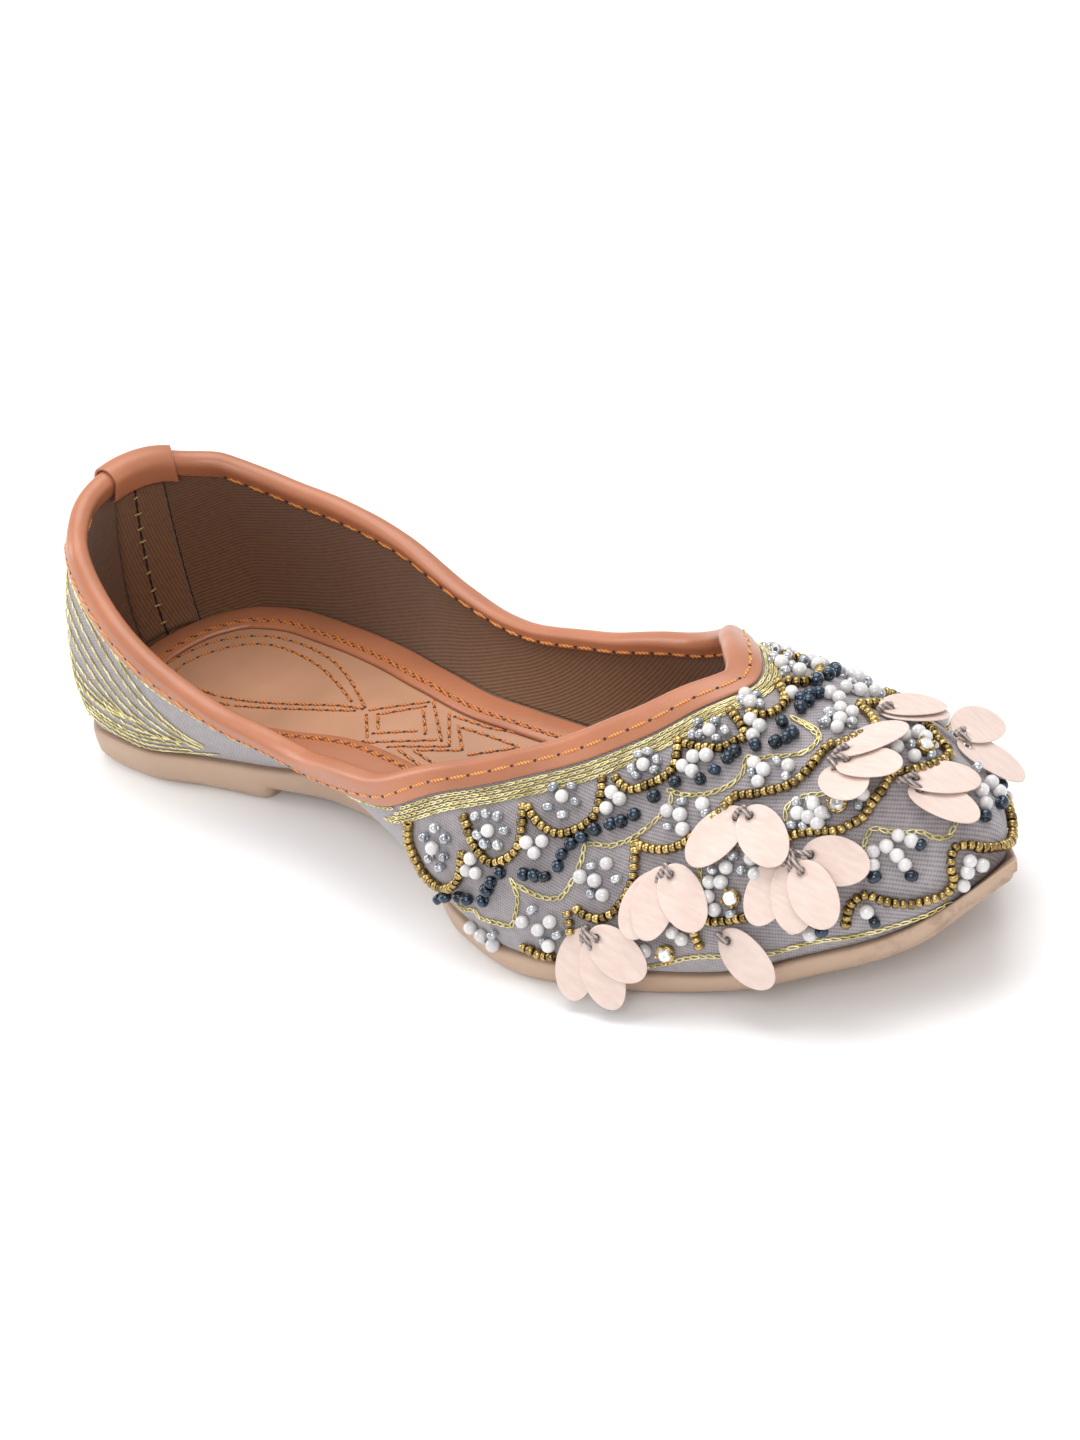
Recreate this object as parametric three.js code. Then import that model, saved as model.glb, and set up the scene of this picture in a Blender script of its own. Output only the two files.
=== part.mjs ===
import * as THREE from 'three';

// Mojari, a flat slip-on shoe for the right foot. Millimetres, +X to the toe, +Y to the inner
// side of the foot, +Z up. The origin is under the middle of the shoe, on the floor.

// Driving dimensions
const soleLength = 250;
const ballWidth = 83;
const heelHeight = 8;
const breastStep = 2.8;
const breastPlace = 60;
const breastRun = 1.5;
const toeSpring = 22.8;
const soleMargin = 1.2;
const beakLength = 5.3;
const beakRoot = 12;
const edgeTaper = 2.4;
const edgeRounding = 1.4;

const instepHeight = 47;
const backHeight = 51;
const throatPlace = 184;
const heelCentre = 30;
const toeCentre = 204;
const heelBulge = 4;
const toeBulge = 1;
const tuckSharpness = 6;
const wall = 2;
const seat = 0.3;

const insoleThickness = 1.5;
const borderThickness = 0.8;
const borderWidth = 8;

const beadRadius = 2.2;
const leatherThickness = 0.9;
const outerFlange = 5;
const innerFlange = 3.4;

// The tab that covers the binding's ends, at the back of the collar
const tabWidth = 18;
const tabOffset = 7.2;
const tabThickness = 0.6;
const tabOuterDrop = 6;
const tabInnerDrop = 5.4;

// The satin discs that hang in groups over the toe
const discLength = 15;
const discWidth = 9.6;
const discThickness = 0.4;
const holeRadius = 0.9;
const holeInset = 2.1;

// The last, a row for each section. Widths are shares of the ball width on the near, outer side
// and the far, inner side: at the feather edge, and at the widest line of the body above it.
// The ridge is a share of the instep height. Taper draws the section in, 1 being an ellipse.
const lastRows = [
  { along: 0, edgeNear: 0, edgeFar: 0, bodyNear: 0, bodyFar: 0, ridge: 1.66, taper: 1.2 },
  { along: 0.02, edgeNear: 0.196, edgeFar: 0.211, bodyNear: 0.236, bodyFar: 0.236, ridge: 1.66, taper: 1.18 },
  { along: 0.06, edgeNear: 0.316, edgeFar: 0.316, bodyNear: 0.355, bodyFar: 0.347, ridge: 1.66, taper: 1.14 },
  { along: 0.12, edgeNear: 0.331, edgeFar: 0.354, bodyNear: 0.398, bodyFar: 0.388, ridge: 1.66, taper: 1.1 },
  { along: 0.18, edgeNear: 0.298, edgeFar: 0.342, bodyNear: 0.425, bodyFar: 0.398, ridge: 1.65, taper: 1.05 },
  { along: 0.25, edgeNear: 0.271, edgeFar: 0.31, bodyNear: 0.446, bodyFar: 0.394, ridge: 1.63, taper: 1 },
  { along: 0.32, edgeNear: 0.243, edgeFar: 0.26, bodyNear: 0.47, bodyFar: 0.381, ridge: 1.58, taper: 1 },
  { along: 0.4, edgeNear: 0.266, edgeFar: 0.224, bodyNear: 0.5, bodyFar: 0.377, ridge: 1.5, taper: 1 },
  { along: 0.48, edgeNear: 0.366, edgeFar: 0.24, bodyNear: 0.534, bodyFar: 0.393, ridge: 1.4, taper: 1.02 },
  { along: 0.56, edgeNear: 0.505, edgeFar: 0.312, bodyNear: 0.571, bodyFar: 0.422, ridge: 1.29, taper: 1.1 },
  { along: 0.64, edgeNear: 0.561, edgeFar: 0.401, bodyNear: 0.592, bodyFar: 0.454, ridge: 1.15, taper: 1.25 },
  { along: 0.72, edgeNear: 0.51, edgeFar: 0.459, bodyNear: 0.56, bodyFar: 0.496, ridge: 0.985, taper: 1.35 },
  { along: 0.8, edgeNear: 0.437, edgeFar: 0.448, bodyNear: 0.493, bodyFar: 0.471, ridge: 0.905, taper: 1.22 },
  { along: 0.87, edgeNear: 0.364, edgeFar: 0.377, bodyNear: 0.41, bodyFar: 0.398, ridge: 0.77, taper: 1 },
  { along: 0.93, edgeNear: 0.272, edgeFar: 0.243, bodyNear: 0.307, bodyFar: 0.282, ridge: 0.64, taper: 0.85 },
  { along: 0.97, edgeNear: 0.178, edgeFar: 0.143, bodyNear: 0.199, bodyFar: 0.182, ridge: 0.53, taper: 0.8 },
  { along: 1, edgeNear: 0, edgeFar: 0, bodyNear: 0, bodyFar: 0, ridge: 0.43, taper: 0.8 },
];

// The sole from heel to tip: side height as a share of the heel height, how much of the breast
// step is left under the arch, and how much of the toe spring the bottom has risen.
const soleRows = [
  { along: 0, side: 1, arch: 1, rise: 0 },
  { along: 0.12, side: 1, arch: 1, rise: 0 },
  { along: 0.24, side: 1.14, arch: 1, rise: 0 },
  { along: 0.32, side: 1.27, arch: 0.97, rise: 0 },
  { along: 0.4, side: 1.23, arch: 0.85, rise: 0 },
  { along: 0.5, side: 0.95, arch: 0, rise: 0 },
  { along: 0.6, side: 0.8, arch: 0, rise: 0 },
  { along: 0.72, side: 0.77, arch: 0, rise: 0 },
  { along: 0.8, side: 0.64, arch: 0, rise: 0.085 },
  { along: 0.868, side: 0.68, arch: 0, rise: 0.285 },
  { along: 0.94, side: 0.66, arch: 0, rise: 0.51 },
  { along: 0.972, side: 0.5, arch: 0, rise: 0.77 },
  { along: 1, side: 0.48, arch: 0, rise: 1 },
];

// The collar from the back of the heel to the throat: half widths over the last laid out flat,
// where a section runs straight from the ridge to the feather edge, as shares of the ball width,
// and how wide the binding's outer flange is, as a share of its width at the heel.
const collarRows = [
  { along: 0, near: 0, far: 0, flange: 1 },
  { along: 0.05, near: 0.19, far: 0.196, flange: 1 },
  { along: 0.13, near: 0.273, far: 0.262, flange: 1 },
  { along: 0.24, near: 0.341, far: 0.296, flange: 1.05 },
  { along: 0.36, near: 0.393, far: 0.32, flange: 1.25 },
  { along: 0.48, near: 0.421, far: 0.33, flange: 1.35 },
  { along: 0.6, near: 0.411, far: 0.328, flange: 1.1 },
  { along: 0.72, near: 0.355, far: 0.314, flange: 0.85 },
  { along: 0.83, near: 0.274, far: 0.254, flange: 0.85 },
  { along: 0.92, near: 0.158, far: 0.142, flange: 1.05 },
  { along: 1, near: 0, far: 0, flange: 1.15 },
];

// The groups of discs: where each hangs, as a station and a share of the way down from the collar
// to the sole, which way it leans out from the skin and by how much, in degrees, and how many
// seats it stands off. Heading 0 points down the skin and 90 to the toe. Each disc has its heading,
// how far its hole lies from the group's knot, as a share of its length, and its layer.
const discGroups = [
  { station: 0.682, side: 'near', down: 0.693, towards: -25, lean: 6, lift: 1.7, discs: [
    { heading: -62, reach: 0.16, layer: 0 }, { heading: -20, reach: 0.28, layer: 1 },
    { heading: 15, reach: 0.24, layer: 2 }] },
  { station: 0.77, side: 'near', down: 0.52, towards: -55, lean: 7, lift: 2, discs: [
    { heading: -74, reach: 0.24, layer: 0 }, { heading: -58, reach: 0.16, layer: 1 },
    { heading: -8, reach: 0.17, layer: 2 }] },
  { station: 0.848, side: 'near', down: 0.457, towards: -60, lean: 8, lift: 3, discs: [
    { heading: -92, reach: 0.16, layer: 0 }, { heading: -8, reach: 0.16, layer: 1 }] },
  { station: 0.85, side: 'near', down: 0.646, towards: -30, lean: 8, lift: 2, discs: [
    { heading: -77, reach: 0.21, layer: 0 }, { heading: -40, reach: 0.23, layer: 1 },
    { heading: -15, reach: 0.35, layer: 2 }, { heading: 28, reach: 0.27, layer: 0 }] },
  { station: 0.765, side: 'near', down: 0.799, towards: 7, lean: 12, lift: 2.7, discs: [
    { heading: 2, reach: 0.15, layer: 0 }] },
  { station: 0.938, side: 'near', down: 0.472, towards: -30, lean: 25, lift: 2, discs: [
    { heading: -23, reach: 0.23, layer: 0 }, { heading: 13, reach: 0.29, layer: 1 },
    { heading: 62, reach: 0.23, layer: 2 }] },
  { station: 0.97, side: 'near', down: 0.639, towards: -57, lean: 21, lift: 3, discs: [
    { heading: 11, reach: 0.29, layer: 0 }, { heading: 51, reach: 0.2, layer: 1 }] },
  { station: 0.888, side: 'far', down: 0.658, towards: -88, lean: 20, lift: 4, discs: [
    { heading: -14, reach: 0.2, layer: 0 }, { heading: -81, reach: 0.16, layer: 1 }] },
  { station: 0.935, side: 'far', down: 0.442, towards: -60, lean: 1, lift: 1.7, discs: [
    { heading: -55, reach: 0.15, layer: 0 }, { heading: -66, reach: 0.17, layer: 1 }] },
];

const upperStart = soleMargin;
const upperLength = soleLength - beakLength - 2 * soleMargin;
const quarterTurn = Math.PI / 2;

// Smooth curve through a table's column that never overshoots its rows.
function curve(rows, column, spread = (along) => along) {
  const at = rows.map((row) => spread(row.along));
  const value = rows.map((row) => row[column]);
  const last = at.length - 1;
  const step = at.slice(1).map((place, i) => place - at[i]);
  const rate = step.map((run, i) => (value[i + 1] - value[i]) / run);
  const slope = rate.map((next, i) => {
    if (i === 0 || rate[i - 1] * next <= 0) {
      return 0;
    }
    const before = step[i - 1] + 2 * step[i];
    const after = 2 * step[i - 1] + step[i];
    return (before + after) / (before / rate[i - 1] + after / next);
  });
  slope[0] = rate[0];
  slope.push(rate[last - 1]);
  return (share) => {
    const place = THREE.MathUtils.clamp(share, at[0], at[last]);
    let i = 0;
    while (i < last - 1 && place > at[i + 1]) {
      i += 1;
    }
    const s = (place - at[i]) / step[i];
    const rest = 1 - s;
    return (1 + 2 * s) * rest * rest * value[i] + s * rest * rest * step[i] * slope[i]
      + s * s * (3 - 2 * s) * value[i + 1] - s * s * rest * step[i] * slope[i + 1];
  };
}

// Stations crowd towards round ends: both ends of the last, and the back end of the collar.
const stationOf = (along) => Math.acos(1 - 2 * along) / Math.PI;
const alongOf = (station) => (1 - Math.cos(Math.PI * station)) / 2;
const backRound = (along) => Math.acos(1 - along) / quarterTurn;

const featherWidth = {
  near: curve(lastRows, 'edgeNear', stationOf),
  far: curve(lastRows, 'edgeFar', stationOf),
};
const bodyWidth = {
  near: curve(lastRows, 'bodyNear', stationOf),
  far: curve(lastRows, 'bodyFar', stationOf),
};
const flangeShare = curve(collarRows, 'flange', backRound);
const collarWidth = {
  near: curve(collarRows, 'near', backRound),
  far: curve(collarRows, 'far', backRound),
};
const ridgeShare = curve(lastRows, 'ridge');
const taperAt = curve(lastRows, 'taper', stationOf);
const sideShare = curve(soleRows, 'side');
const archShare = curve(soleRows, 'arch');
const riseShare = curve(soleRows, 'rise');

const signOf = { near: -1, far: 1 };

// Heights of the sole's bottom edge and of its top, along the length.
function soleBottom(x) {
  const past = THREE.MathUtils.clamp((x - breastPlace) / breastRun, 0, 1);
  return past * breastStep * archShare(x / soleLength) + toeSpring * riseShare(x / soleLength);
}

function soleTop(x) {
  return heelHeight * sideShare(x / soleLength) + toeSpring * riseShare(x / soleLength);
}

const ridgeHeight = (x) => instepHeight * ridgeShare((x - upperStart) / upperLength);

function featherPoint(station, side) {
  const x = upperStart + upperLength * alongOf(station);
  return { x, y: signOf[side] * ballWidth * featherWidth[side](station) };
}

function bodyPoint(station, side) {
  const along = alongOf(station);
  const atEnds = toeBulge * along ** 8 - heelBulge * (1 - along) ** 8;
  const x = upperStart + upperLength * along + atEnds;
  return { x, y: signOf[side] * ballWidth * bodyWidth[side](station) };
}

const spinePlace = (station) => THREE.MathUtils.lerp(heelCentre, toeCentre, alongOf(station));

// A point of the last's surface: spread is 1 at the feather edge and 0 on the ridge.
function lastPoint(station, side, spread) {
  const body = bodyPoint(station, side);
  const feather = featherPoint(station, side);
  const spine = spinePlace(station);
  const turn = (1 - spread) * quarterTurn;
  const taper = taperAt(station);
  const out = Math.max(Math.cos(turn), 0) ** taper;
  const tuck = (1 - Math.sin(turn)) ** tuckSharpness;
  const x = spine + out * (body.x - spine) - tuck * (body.x - feather.x);
  const y = out * body.y - tuck * (body.y - feather.y);
  return new THREE.Vector3(x, y, soleTop(x) + seat + ridgeHeight(x) * Math.sin(turn) ** taper);
}

// The same point from its place on the last laid out flat. The station is found by halving.
function laidPoint(x, y, side) {
  const across = Math.max(Math.abs(y), 0.001);
  let low = 0;
  let high = 1;
  for (let halving = 0; halving < 34; halving += 1) {
    const middle = (low + high) / 2;
    const body = bodyPoint(middle, side);
    const spine = spinePlace(middle);
    if ((x - spine) * Math.abs(body.y) > across * (body.x - spine)) {
      low = middle;
    } else {
      high = middle;
    }
  }
  const station = (low + high) / 2;
  const body = bodyPoint(station, side);
  const spine = spinePlace(station);
  const spread = Math.hypot(x - spine, across) / Math.hypot(body.x - spine, body.y);
  return lastPoint(station, side, Math.min(spread, 1));
}

// The back of the collar lies on the last at the back height.
const backTurn = Math.asin(backHeight / ridgeHeight(upperStart));
const backSpread = 1 - backTurn / quarterTurn;
const collarBack = heelCentre - backSpread * (heelCentre - bodyPoint(0, 'near').x);

function collarPlace(station, side) {
  const along = alongOf(station);
  const x = THREE.MathUtils.lerp(collarBack, throatPlace, along);
  return { x, y: signOf[side] * ballWidth * collarWidth[side](backRound(along)) };
}

// Stations all round the shoe: along the near side to the toe, and back along the far side.
const stationsPerSide = 44;
const around = [];
for (let i = 0; i <= stationsPerSide; i += 1) {
  around.push({ station: i / stationsPerSide, side: 'near' });
}
for (let i = stationsPerSide - 1; i > 0; i -= 1) {
  around.push({ station: i / stationsPerSide, side: 'far' });
}

// The upper's outer surface, a line at each station from the feather edge up to the collar.
const risers = 11;
const outerLines = around.map(({ station, side }) => {
  const foot = bodyPoint(station, side);
  const head = collarPlace(station, side);
  const line = [];
  for (let j = 0; j <= risers; j += 1) {
    const up = j / risers;
    const x = THREE.MathUtils.lerp(foot.x, head.x, up);
    line.push(laidPoint(x, THREE.MathUtils.lerp(foot.y, head.y, up), side));
  }
  return line;
});

function outwardAt(lines, i, j) {
  const count = lines.length;
  const end = lines[i].length - 1;
  const next = lines[(i + 1) % count][j];
  const before = lines[(i + count - 1) % count][j];
  const above = lines[i][Math.min(j + 1, end)];
  const below = lines[i][Math.max(j - 1, 0)];
  const lengthwise = next.clone().sub(before);
  return lengthwise.cross(above.clone().sub(below)).normalize();
}

const outwards = outerLines.map((line, i) => line.map((point, j) => outwardAt(outerLines, i, j)));

// A point at a distance down from the collar along a station's line, moved out by a depth.
function skinPoint(i, down, depth) {
  const line = outerLines[i];
  let j = line.length - 1;
  let left = down;
  while (j > 1 && left > line[j].distanceTo(line[j - 1])) {
    left -= line[j].distanceTo(line[j - 1]);
    j -= 1;
  }
  const share = left / line[j].distanceTo(line[j - 1]);
  const point = line[j].clone().lerp(line[j - 1], share);
  const outward = outwards[i][j].clone().lerp(outwards[i][j - 1], share).normalize();
  return point.addScaledVector(outward, depth);
}

// Closed mesh from rings of points. A tube joins its last ring to its first; a plug is capped
// by rungs between its near and far sides.
function ringMesh(rings, isTube) {
  const count = rings[0].length;
  const triangles = [];
  const bands = isTube ? rings.length : rings.length - 1;
  for (let r = 0; r < bands; r += 1) {
    const low = r * count;
    const high = ((r + 1) % rings.length) * count;
    for (let i = 0; i < count; i += 1) {
      const next = (i + 1) % count;
      triangles.push(low + i, low + next, high + next, low + i, high + next, high + i);
    }
  }
  if (!isTube) {
    const top = (rings.length - 1) * count;
    for (let i = 0; i < count / 2; i += 1) {
      const near = [i, i + 1];
      const far = [(count - i) % count, count - i - 1];
      if (near[1] !== far[1]) {
        triangles.push(near[0], far[1], near[1], top + near[0], top + near[1], top + far[1]);
      }
      if (near[0] !== far[0]) {
        triangles.push(near[0], far[0], far[1], top + near[0], top + far[1], top + far[0]);
      }
    }
  }
  return meshFrom(rings.flat(), triangles);
}

function meshFrom(points, triangles) {
  const geometry = new THREE.BufferGeometry();
  geometry.setAttribute('position', new THREE.Float32BufferAttribute(points.flatMap((p) => p.toArray()), 3));
  geometry.setIndex(triangles);
  geometry.computeVertexNormals();
  return geometry;
}

// Finishes
const finishes = {
  soleRubber: new THREE.MeshStandardMaterial({ color: 0xc3a08a, roughness: 0.6, metalness: 0 }),
  fabric: new THREE.MeshStandardMaterial({ color: 0x9b9194, roughness: 0.85, metalness: 0 }),
  insoleBrown: new THREE.MeshStandardMaterial({ color: 0xb27d5f, roughness: 0.5, metalness: 0 }),
  satin: new THREE.MeshStandardMaterial({ color: 0xfad8c8, roughness: 0.35, metalness: 0 }),
  tanLeather: new THREE.MeshStandardMaterial({ color: 0xc47a5a, roughness: 0.4, metalness: 0 }),
};

const shoe = new THREE.Group();

function addPiece(name, geometry, finish) {
  const piece = new THREE.Mesh(geometry, finishes[finish]);
  piece.name = name;
  shoe.add(piece);
  return piece;
}

// Outline of the sole and insole: the feather edge moved out, with a beak at the toe if asked.
function soleOutline(out, beak) {
  const count = around.length;
  const plan = around.map(({ station, side }) => featherPoint(station, side));
  return plan.map((point, i) => {
    const next = plan[(i + 1) % count];
    const before = plan[(i + count - 1) % count];
    const run = new THREE.Vector2(next.x - before.x, next.y - before.y).normalize();
    const x = point.x + out * run.y;
    const y = point.y - out * run.x;
    const atToe = i === stationsPerSide ? 1 : Math.max(1 - Math.abs(y) / beakRoot, 0);
    const ogee = x > toeCentre ? atToe * atToe : 0;
    return { x: x + beak * ogee, y };
  });
}

const levelRing = (outline, height) => outline.map(({ x, y }) => new THREE.Vector3(x, y, height(x)));

function addOutsole() {
  const rings = [
    levelRing(soleOutline(soleMargin - edgeTaper, beakLength), soleBottom),
    levelRing(soleOutline(soleMargin - edgeTaper / 3, beakLength), (x) => soleBottom(x) + edgeRounding),
    levelRing(soleOutline(soleMargin + seat, beakLength), (x) => (soleBottom(x) + 2 * soleTop(x)) / 3),
    levelRing(soleOutline(soleMargin, beakLength), soleTop),
  ];
  addPiece('outsole', ringMesh(rings, false), 'soleRubber');
}

function addUpper() {
  const outer = [];
  const inner = [];
  for (let j = 0; j <= risers; j += 1) {
    outer.push(outerLines.map((line) => line[j]));
    inner.push(outerLines.map((line, i) => {
      const inward = outwards[i][j].clone().negate();
      if (j === 0) {
        inward.setZ(0).normalize();
      }
      const point = line[j].clone().addScaledVector(inward, wall);
      if (j === 0) {
        point.z = soleTop(point.x) + seat;
      }
      return point;
    }));
  }
  addPiece('upper', ringMesh([...outer, ...inner.reverse()], true), 'fabric');
}

// The insole fits inside the upper's wall, and the border strip lies along its edge.
function addInsole() {
  const outline = soleOutline(-wall - 2 * seat, 0);
  const innerLine = soleOutline(-wall - 2 * seat - borderWidth, 0);
  const foot = (x) => soleTop(x) + seat;
  const face = (x) => foot(x) + insoleThickness;
  const rings = [levelRing(outline, foot), levelRing(outline, face)];
  addPiece('insole', ringMesh(rings, false), 'insoleBrown');
  const border = [
    levelRing(outline, (x) => face(x) + seat),
    levelRing(outline, (x) => face(x) + seat + borderThickness),
    levelRing(innerLine, (x) => face(x) + seat + borderThickness),
    levelRing(innerLine, (x) => face(x) + seat),
  ];
  addPiece('insole_border', ringMesh(border, true), 'tanLeather');
}

// Section of a strip that wraps the collar: how far down the outside and the inside it goes, and
// how thick its roll is. Each place is a distance down from the edge and a depth out of the skin.
function wrapSection(outerDrop, innerDrop, roll, clearance) {
  const section = [];
  const outside = clearance + leatherThickness;
  const inside = -wall - clearance;
  const middle = -wall / 2;
  section.push([outerDrop, outside], [outerDrop * 0.75, outside], [roll, outside + leatherThickness / 3]);
  for (let turn = 0; turn <= 6; turn += 1) {
    const angle = Math.PI * (turn / 6);
    section.push([-roll * Math.sin(angle), middle + roll * Math.cos(angle)]);
  }
  section.push([innerDrop, inside - leatherThickness], [innerDrop, inside]);
  section.push([-clearance, inside], [-clearance, clearance], [outerDrop * 0.4, clearance]);
  section.push([outerDrop * 0.75, clearance], [outerDrop, clearance]);
  return section;
}

// Above the edge a place keeps the skin's own direction there.
function wrapPoint(i, [down, depth]) {
  if (down >= 0) {
    return skinPoint(i, down, depth);
  }
  const line = outerLines[i];
  const end = line.length - 1;
  const up = line[end].clone().sub(line[end - 1]).normalize();
  return skinPoint(i, 0, depth).addScaledVector(up, -down);
}

function addBinding() {
  const sections = around.map(({ station }) => {
    const flange = outerFlange * flangeShare(backRound(alongOf(station)));
    return wrapSection(flange, innerFlange, beadRadius, seat);
  });
  const rings = sections[0].map((place, k) => sections.map((section, i) => wrapPoint(i, section[k])));
  addPiece('collar_binding', ringMesh(rings, true), 'tanLeather');
}

const lineLengths = outerLines.map((line) => (
  line.slice(1).reduce((sum, point, j) => sum + point.distanceTo(line[j]), 0)
));

// The skin at a place between stations: the point there, and the ways out, down and to the toe.
function skinFrame(station, side, share) {
  const index = (side === 'near' ? station : 2 - station) * stationsPerSide;
  const before = Math.floor(index) % around.length;
  const after = (before + 1) % around.length;
  const down = share * THREE.MathUtils.lerp(lineLengths[before], lineLengths[after], index - before);
  const at = (drop, depth) => (
    skinPoint(before, drop, depth).lerp(skinPoint(after, drop, depth), index - Math.floor(index))
  );
  const point = at(down, 0);
  const out = at(down, 1).sub(point).normalize();
  const downward = at(down + 1, 0).sub(point).projectOnPlane(out).normalize();
  const toToe = out.clone().cross(downward).multiplyScalar(-signOf[side]);
  return { point, out, downward, toToe };
}

// A flat oval plate with a hole near one end. It lies along +X from its hole, on the XY plane.
function discGeometry() {
  const outlineSteps = 18;
  const holeSteps = 7;
  const ring = (steps, x, along, across) => Array.from({ length: steps }, (_, i) => {
    const angle = 2 * Math.PI * (i / steps);
    return new THREE.Vector2(x + along * Math.cos(angle), across * Math.sin(angle));
  });
  const centre = discLength / 2 - holeInset;
  const shape = new THREE.Shape(ring(outlineSteps, centre, discLength / 2, discWidth / 2));
  shape.holes.push(new THREE.Path(ring(holeSteps, 0, holeRadius, holeRadius)));
  return new THREE.ExtrudeGeometry(shape, { depth: discThickness, bevelEnabled: false });
}

// The discs of a group lie in parallel planes that lean out from the skin.
function addDiscs() {
  let count = 0;
  for (const { station, side, down, towards, lean, lift, discs } of discGroups) {
    const { point, out, downward, toToe } = skinFrame(station, side, down);
    const leaning = THREE.MathUtils.degToRad(lean);
    const bearing = THREE.MathUtils.degToRad(towards);
    const way = downward.clone().multiplyScalar(Math.cos(bearing)).addScaledVector(toToe, Math.sin(bearing));
    const ahead = way.clone().multiplyScalar(Math.cos(leaning)).addScaledVector(out, Math.sin(leaning));
    const normal = out.clone().multiplyScalar(Math.cos(leaning)).addScaledVector(way, -Math.sin(leaning));
    for (const { heading, reach, layer } of discs) {
      const swing = THREE.MathUtils.degToRad(heading - towards) * -signOf[side];
      const along = ahead.clone().applyAxisAngle(normal, swing);
      const height = lift * seat + layer * (discThickness + seat);
      const place = point.clone().addScaledVector(along, reach * discLength).addScaledVector(normal, height);
      const across = normal.clone().cross(along);
      const basis = new THREE.Matrix4().makeBasis(along, across, normal).setPosition(place);
      count += 1;
      const name = `disc_${String(count).padStart(2, '0')}`;
      addPiece(name, discGeometry().applyMatrix4(basis), 'satin');
    }
  }
}

// A point of the binding at a distance round the collar from its back, towards the far side.
function wrapPointFromBack(distance, place) {
  const step = distance < 0 ? 1 : around.length - 1;
  let before = 0;
  let after = step;
  let left = Math.abs(distance);
  const run = () => wrapPoint(before, [0, 0]).distanceTo(wrapPoint(after, [0, 0]));
  while (left > run()) {
    left -= run();
    before = after;
    after = (before + step) % around.length;
  }
  return wrapPoint(before, place).lerp(wrapPoint(after, place), left / run());
}

// The tab wraps the binding, and is closed at both of its sides.
function addTab() {
  const sections = 7;
  const outside = seat + leatherThickness * (4 / 3) + seat;
  const inside = wall + seat + leatherThickness + seat;
  const bow = [0, 1, 2, 3, 4, 5, 6].map((turn) => Math.PI * (turn / 6));
  const face = (offset) => [
    [tabOuterDrop, outside + offset],
    ...bow.map((angle) => [
      -(beadRadius + seat + offset) * Math.sin(angle),
      (outside - inside) / 2 + ((outside + inside) / 2 + offset) * Math.cos(angle),
    ]),
    [innerFlange + seat * 2, -inside - offset],
    [tabInnerDrop, -wall - seat - offset],
  ];
  const cover = [...face(tabThickness), ...face(0).reverse()];
  const count = cover.length;
  const points = [];
  for (let s = 0; s < sections; s += 1) {
    const distance = tabOffset + tabWidth * (s / (sections - 1) - 0.5);
    points.push(...cover.map((place) => wrapPointFromBack(distance, place)));
  }
  const triangles = [];
  for (let s = 0; s < sections - 1; s += 1) {
    for (let k = 0; k < count; k += 1) {
      const [low, high, next] = [s * count, (s + 1) * count, (k + 1) % count];
      triangles.push(low + k, low + next, high + next, low + k, high + next, high + k);
    }
  }
  const end = (sections - 1) * count;
  for (let k = 0; k < count / 2 - 1; k += 1) {
    const [a, b, c, d] = [k, k + 1, count - 2 - k, count - 1 - k];
    triangles.push(a, c, b, a, d, c, end + a, end + b, end + c, end + a, end + c, end + d);
  }
  addPiece('back_tab', meshFrom(points, triangles), 'tanLeather');
}

addOutsole();
addUpper();
addInsole();
addBinding();
addTab();
addDiscs();

// The origin goes under the middle of the shoe.
const extent = new THREE.Box3().setFromObject(shoe);
const middle = extent.getCenter(new THREE.Vector3());
shoe.position.set(-middle.x, -middle.y, -extent.min.z);

const mojari = new THREE.Group();
mojari.add(shoe);

export default mojari;
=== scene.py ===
"""Mojari, a flat slip-on shoe for the right foot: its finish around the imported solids.

Shapes are worked out in millimetres on the shoe's own last, x from the heel and y from the
spine with the inner side positive, and are moved into the frame as they become meshes.
"""

import math

import bmesh
import bpy
import numpy as np
from bpy.props import FloatProperty, FloatVectorProperty, PointerProperty
from bpy.types import Operator, Panel, PropertyGroup
from mathutils import Matrix, Vector


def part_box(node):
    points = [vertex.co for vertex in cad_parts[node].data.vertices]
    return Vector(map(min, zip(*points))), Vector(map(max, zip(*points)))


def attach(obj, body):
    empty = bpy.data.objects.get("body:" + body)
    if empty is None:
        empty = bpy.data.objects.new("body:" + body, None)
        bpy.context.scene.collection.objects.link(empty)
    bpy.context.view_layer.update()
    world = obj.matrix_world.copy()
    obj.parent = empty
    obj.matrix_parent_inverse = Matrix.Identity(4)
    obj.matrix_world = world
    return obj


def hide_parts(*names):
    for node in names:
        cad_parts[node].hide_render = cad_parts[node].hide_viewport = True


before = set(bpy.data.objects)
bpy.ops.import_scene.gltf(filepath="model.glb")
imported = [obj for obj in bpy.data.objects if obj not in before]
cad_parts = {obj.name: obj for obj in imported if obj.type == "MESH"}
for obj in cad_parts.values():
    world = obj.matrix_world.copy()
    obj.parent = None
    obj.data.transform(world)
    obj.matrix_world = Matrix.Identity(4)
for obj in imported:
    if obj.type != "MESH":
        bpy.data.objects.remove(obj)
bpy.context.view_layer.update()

bl_info = {
    "name": "Mojari Shoe",
    "version": (1, 0, 0),
    "blender": (4, 5, 0),
    "location": "View3D > Sidebar > Mojari",
    "description": "Finishes an embroidered mojari shoe around its packed solids",
    "category": "Object",
}

MM = 0.001
SEED = 11

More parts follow.
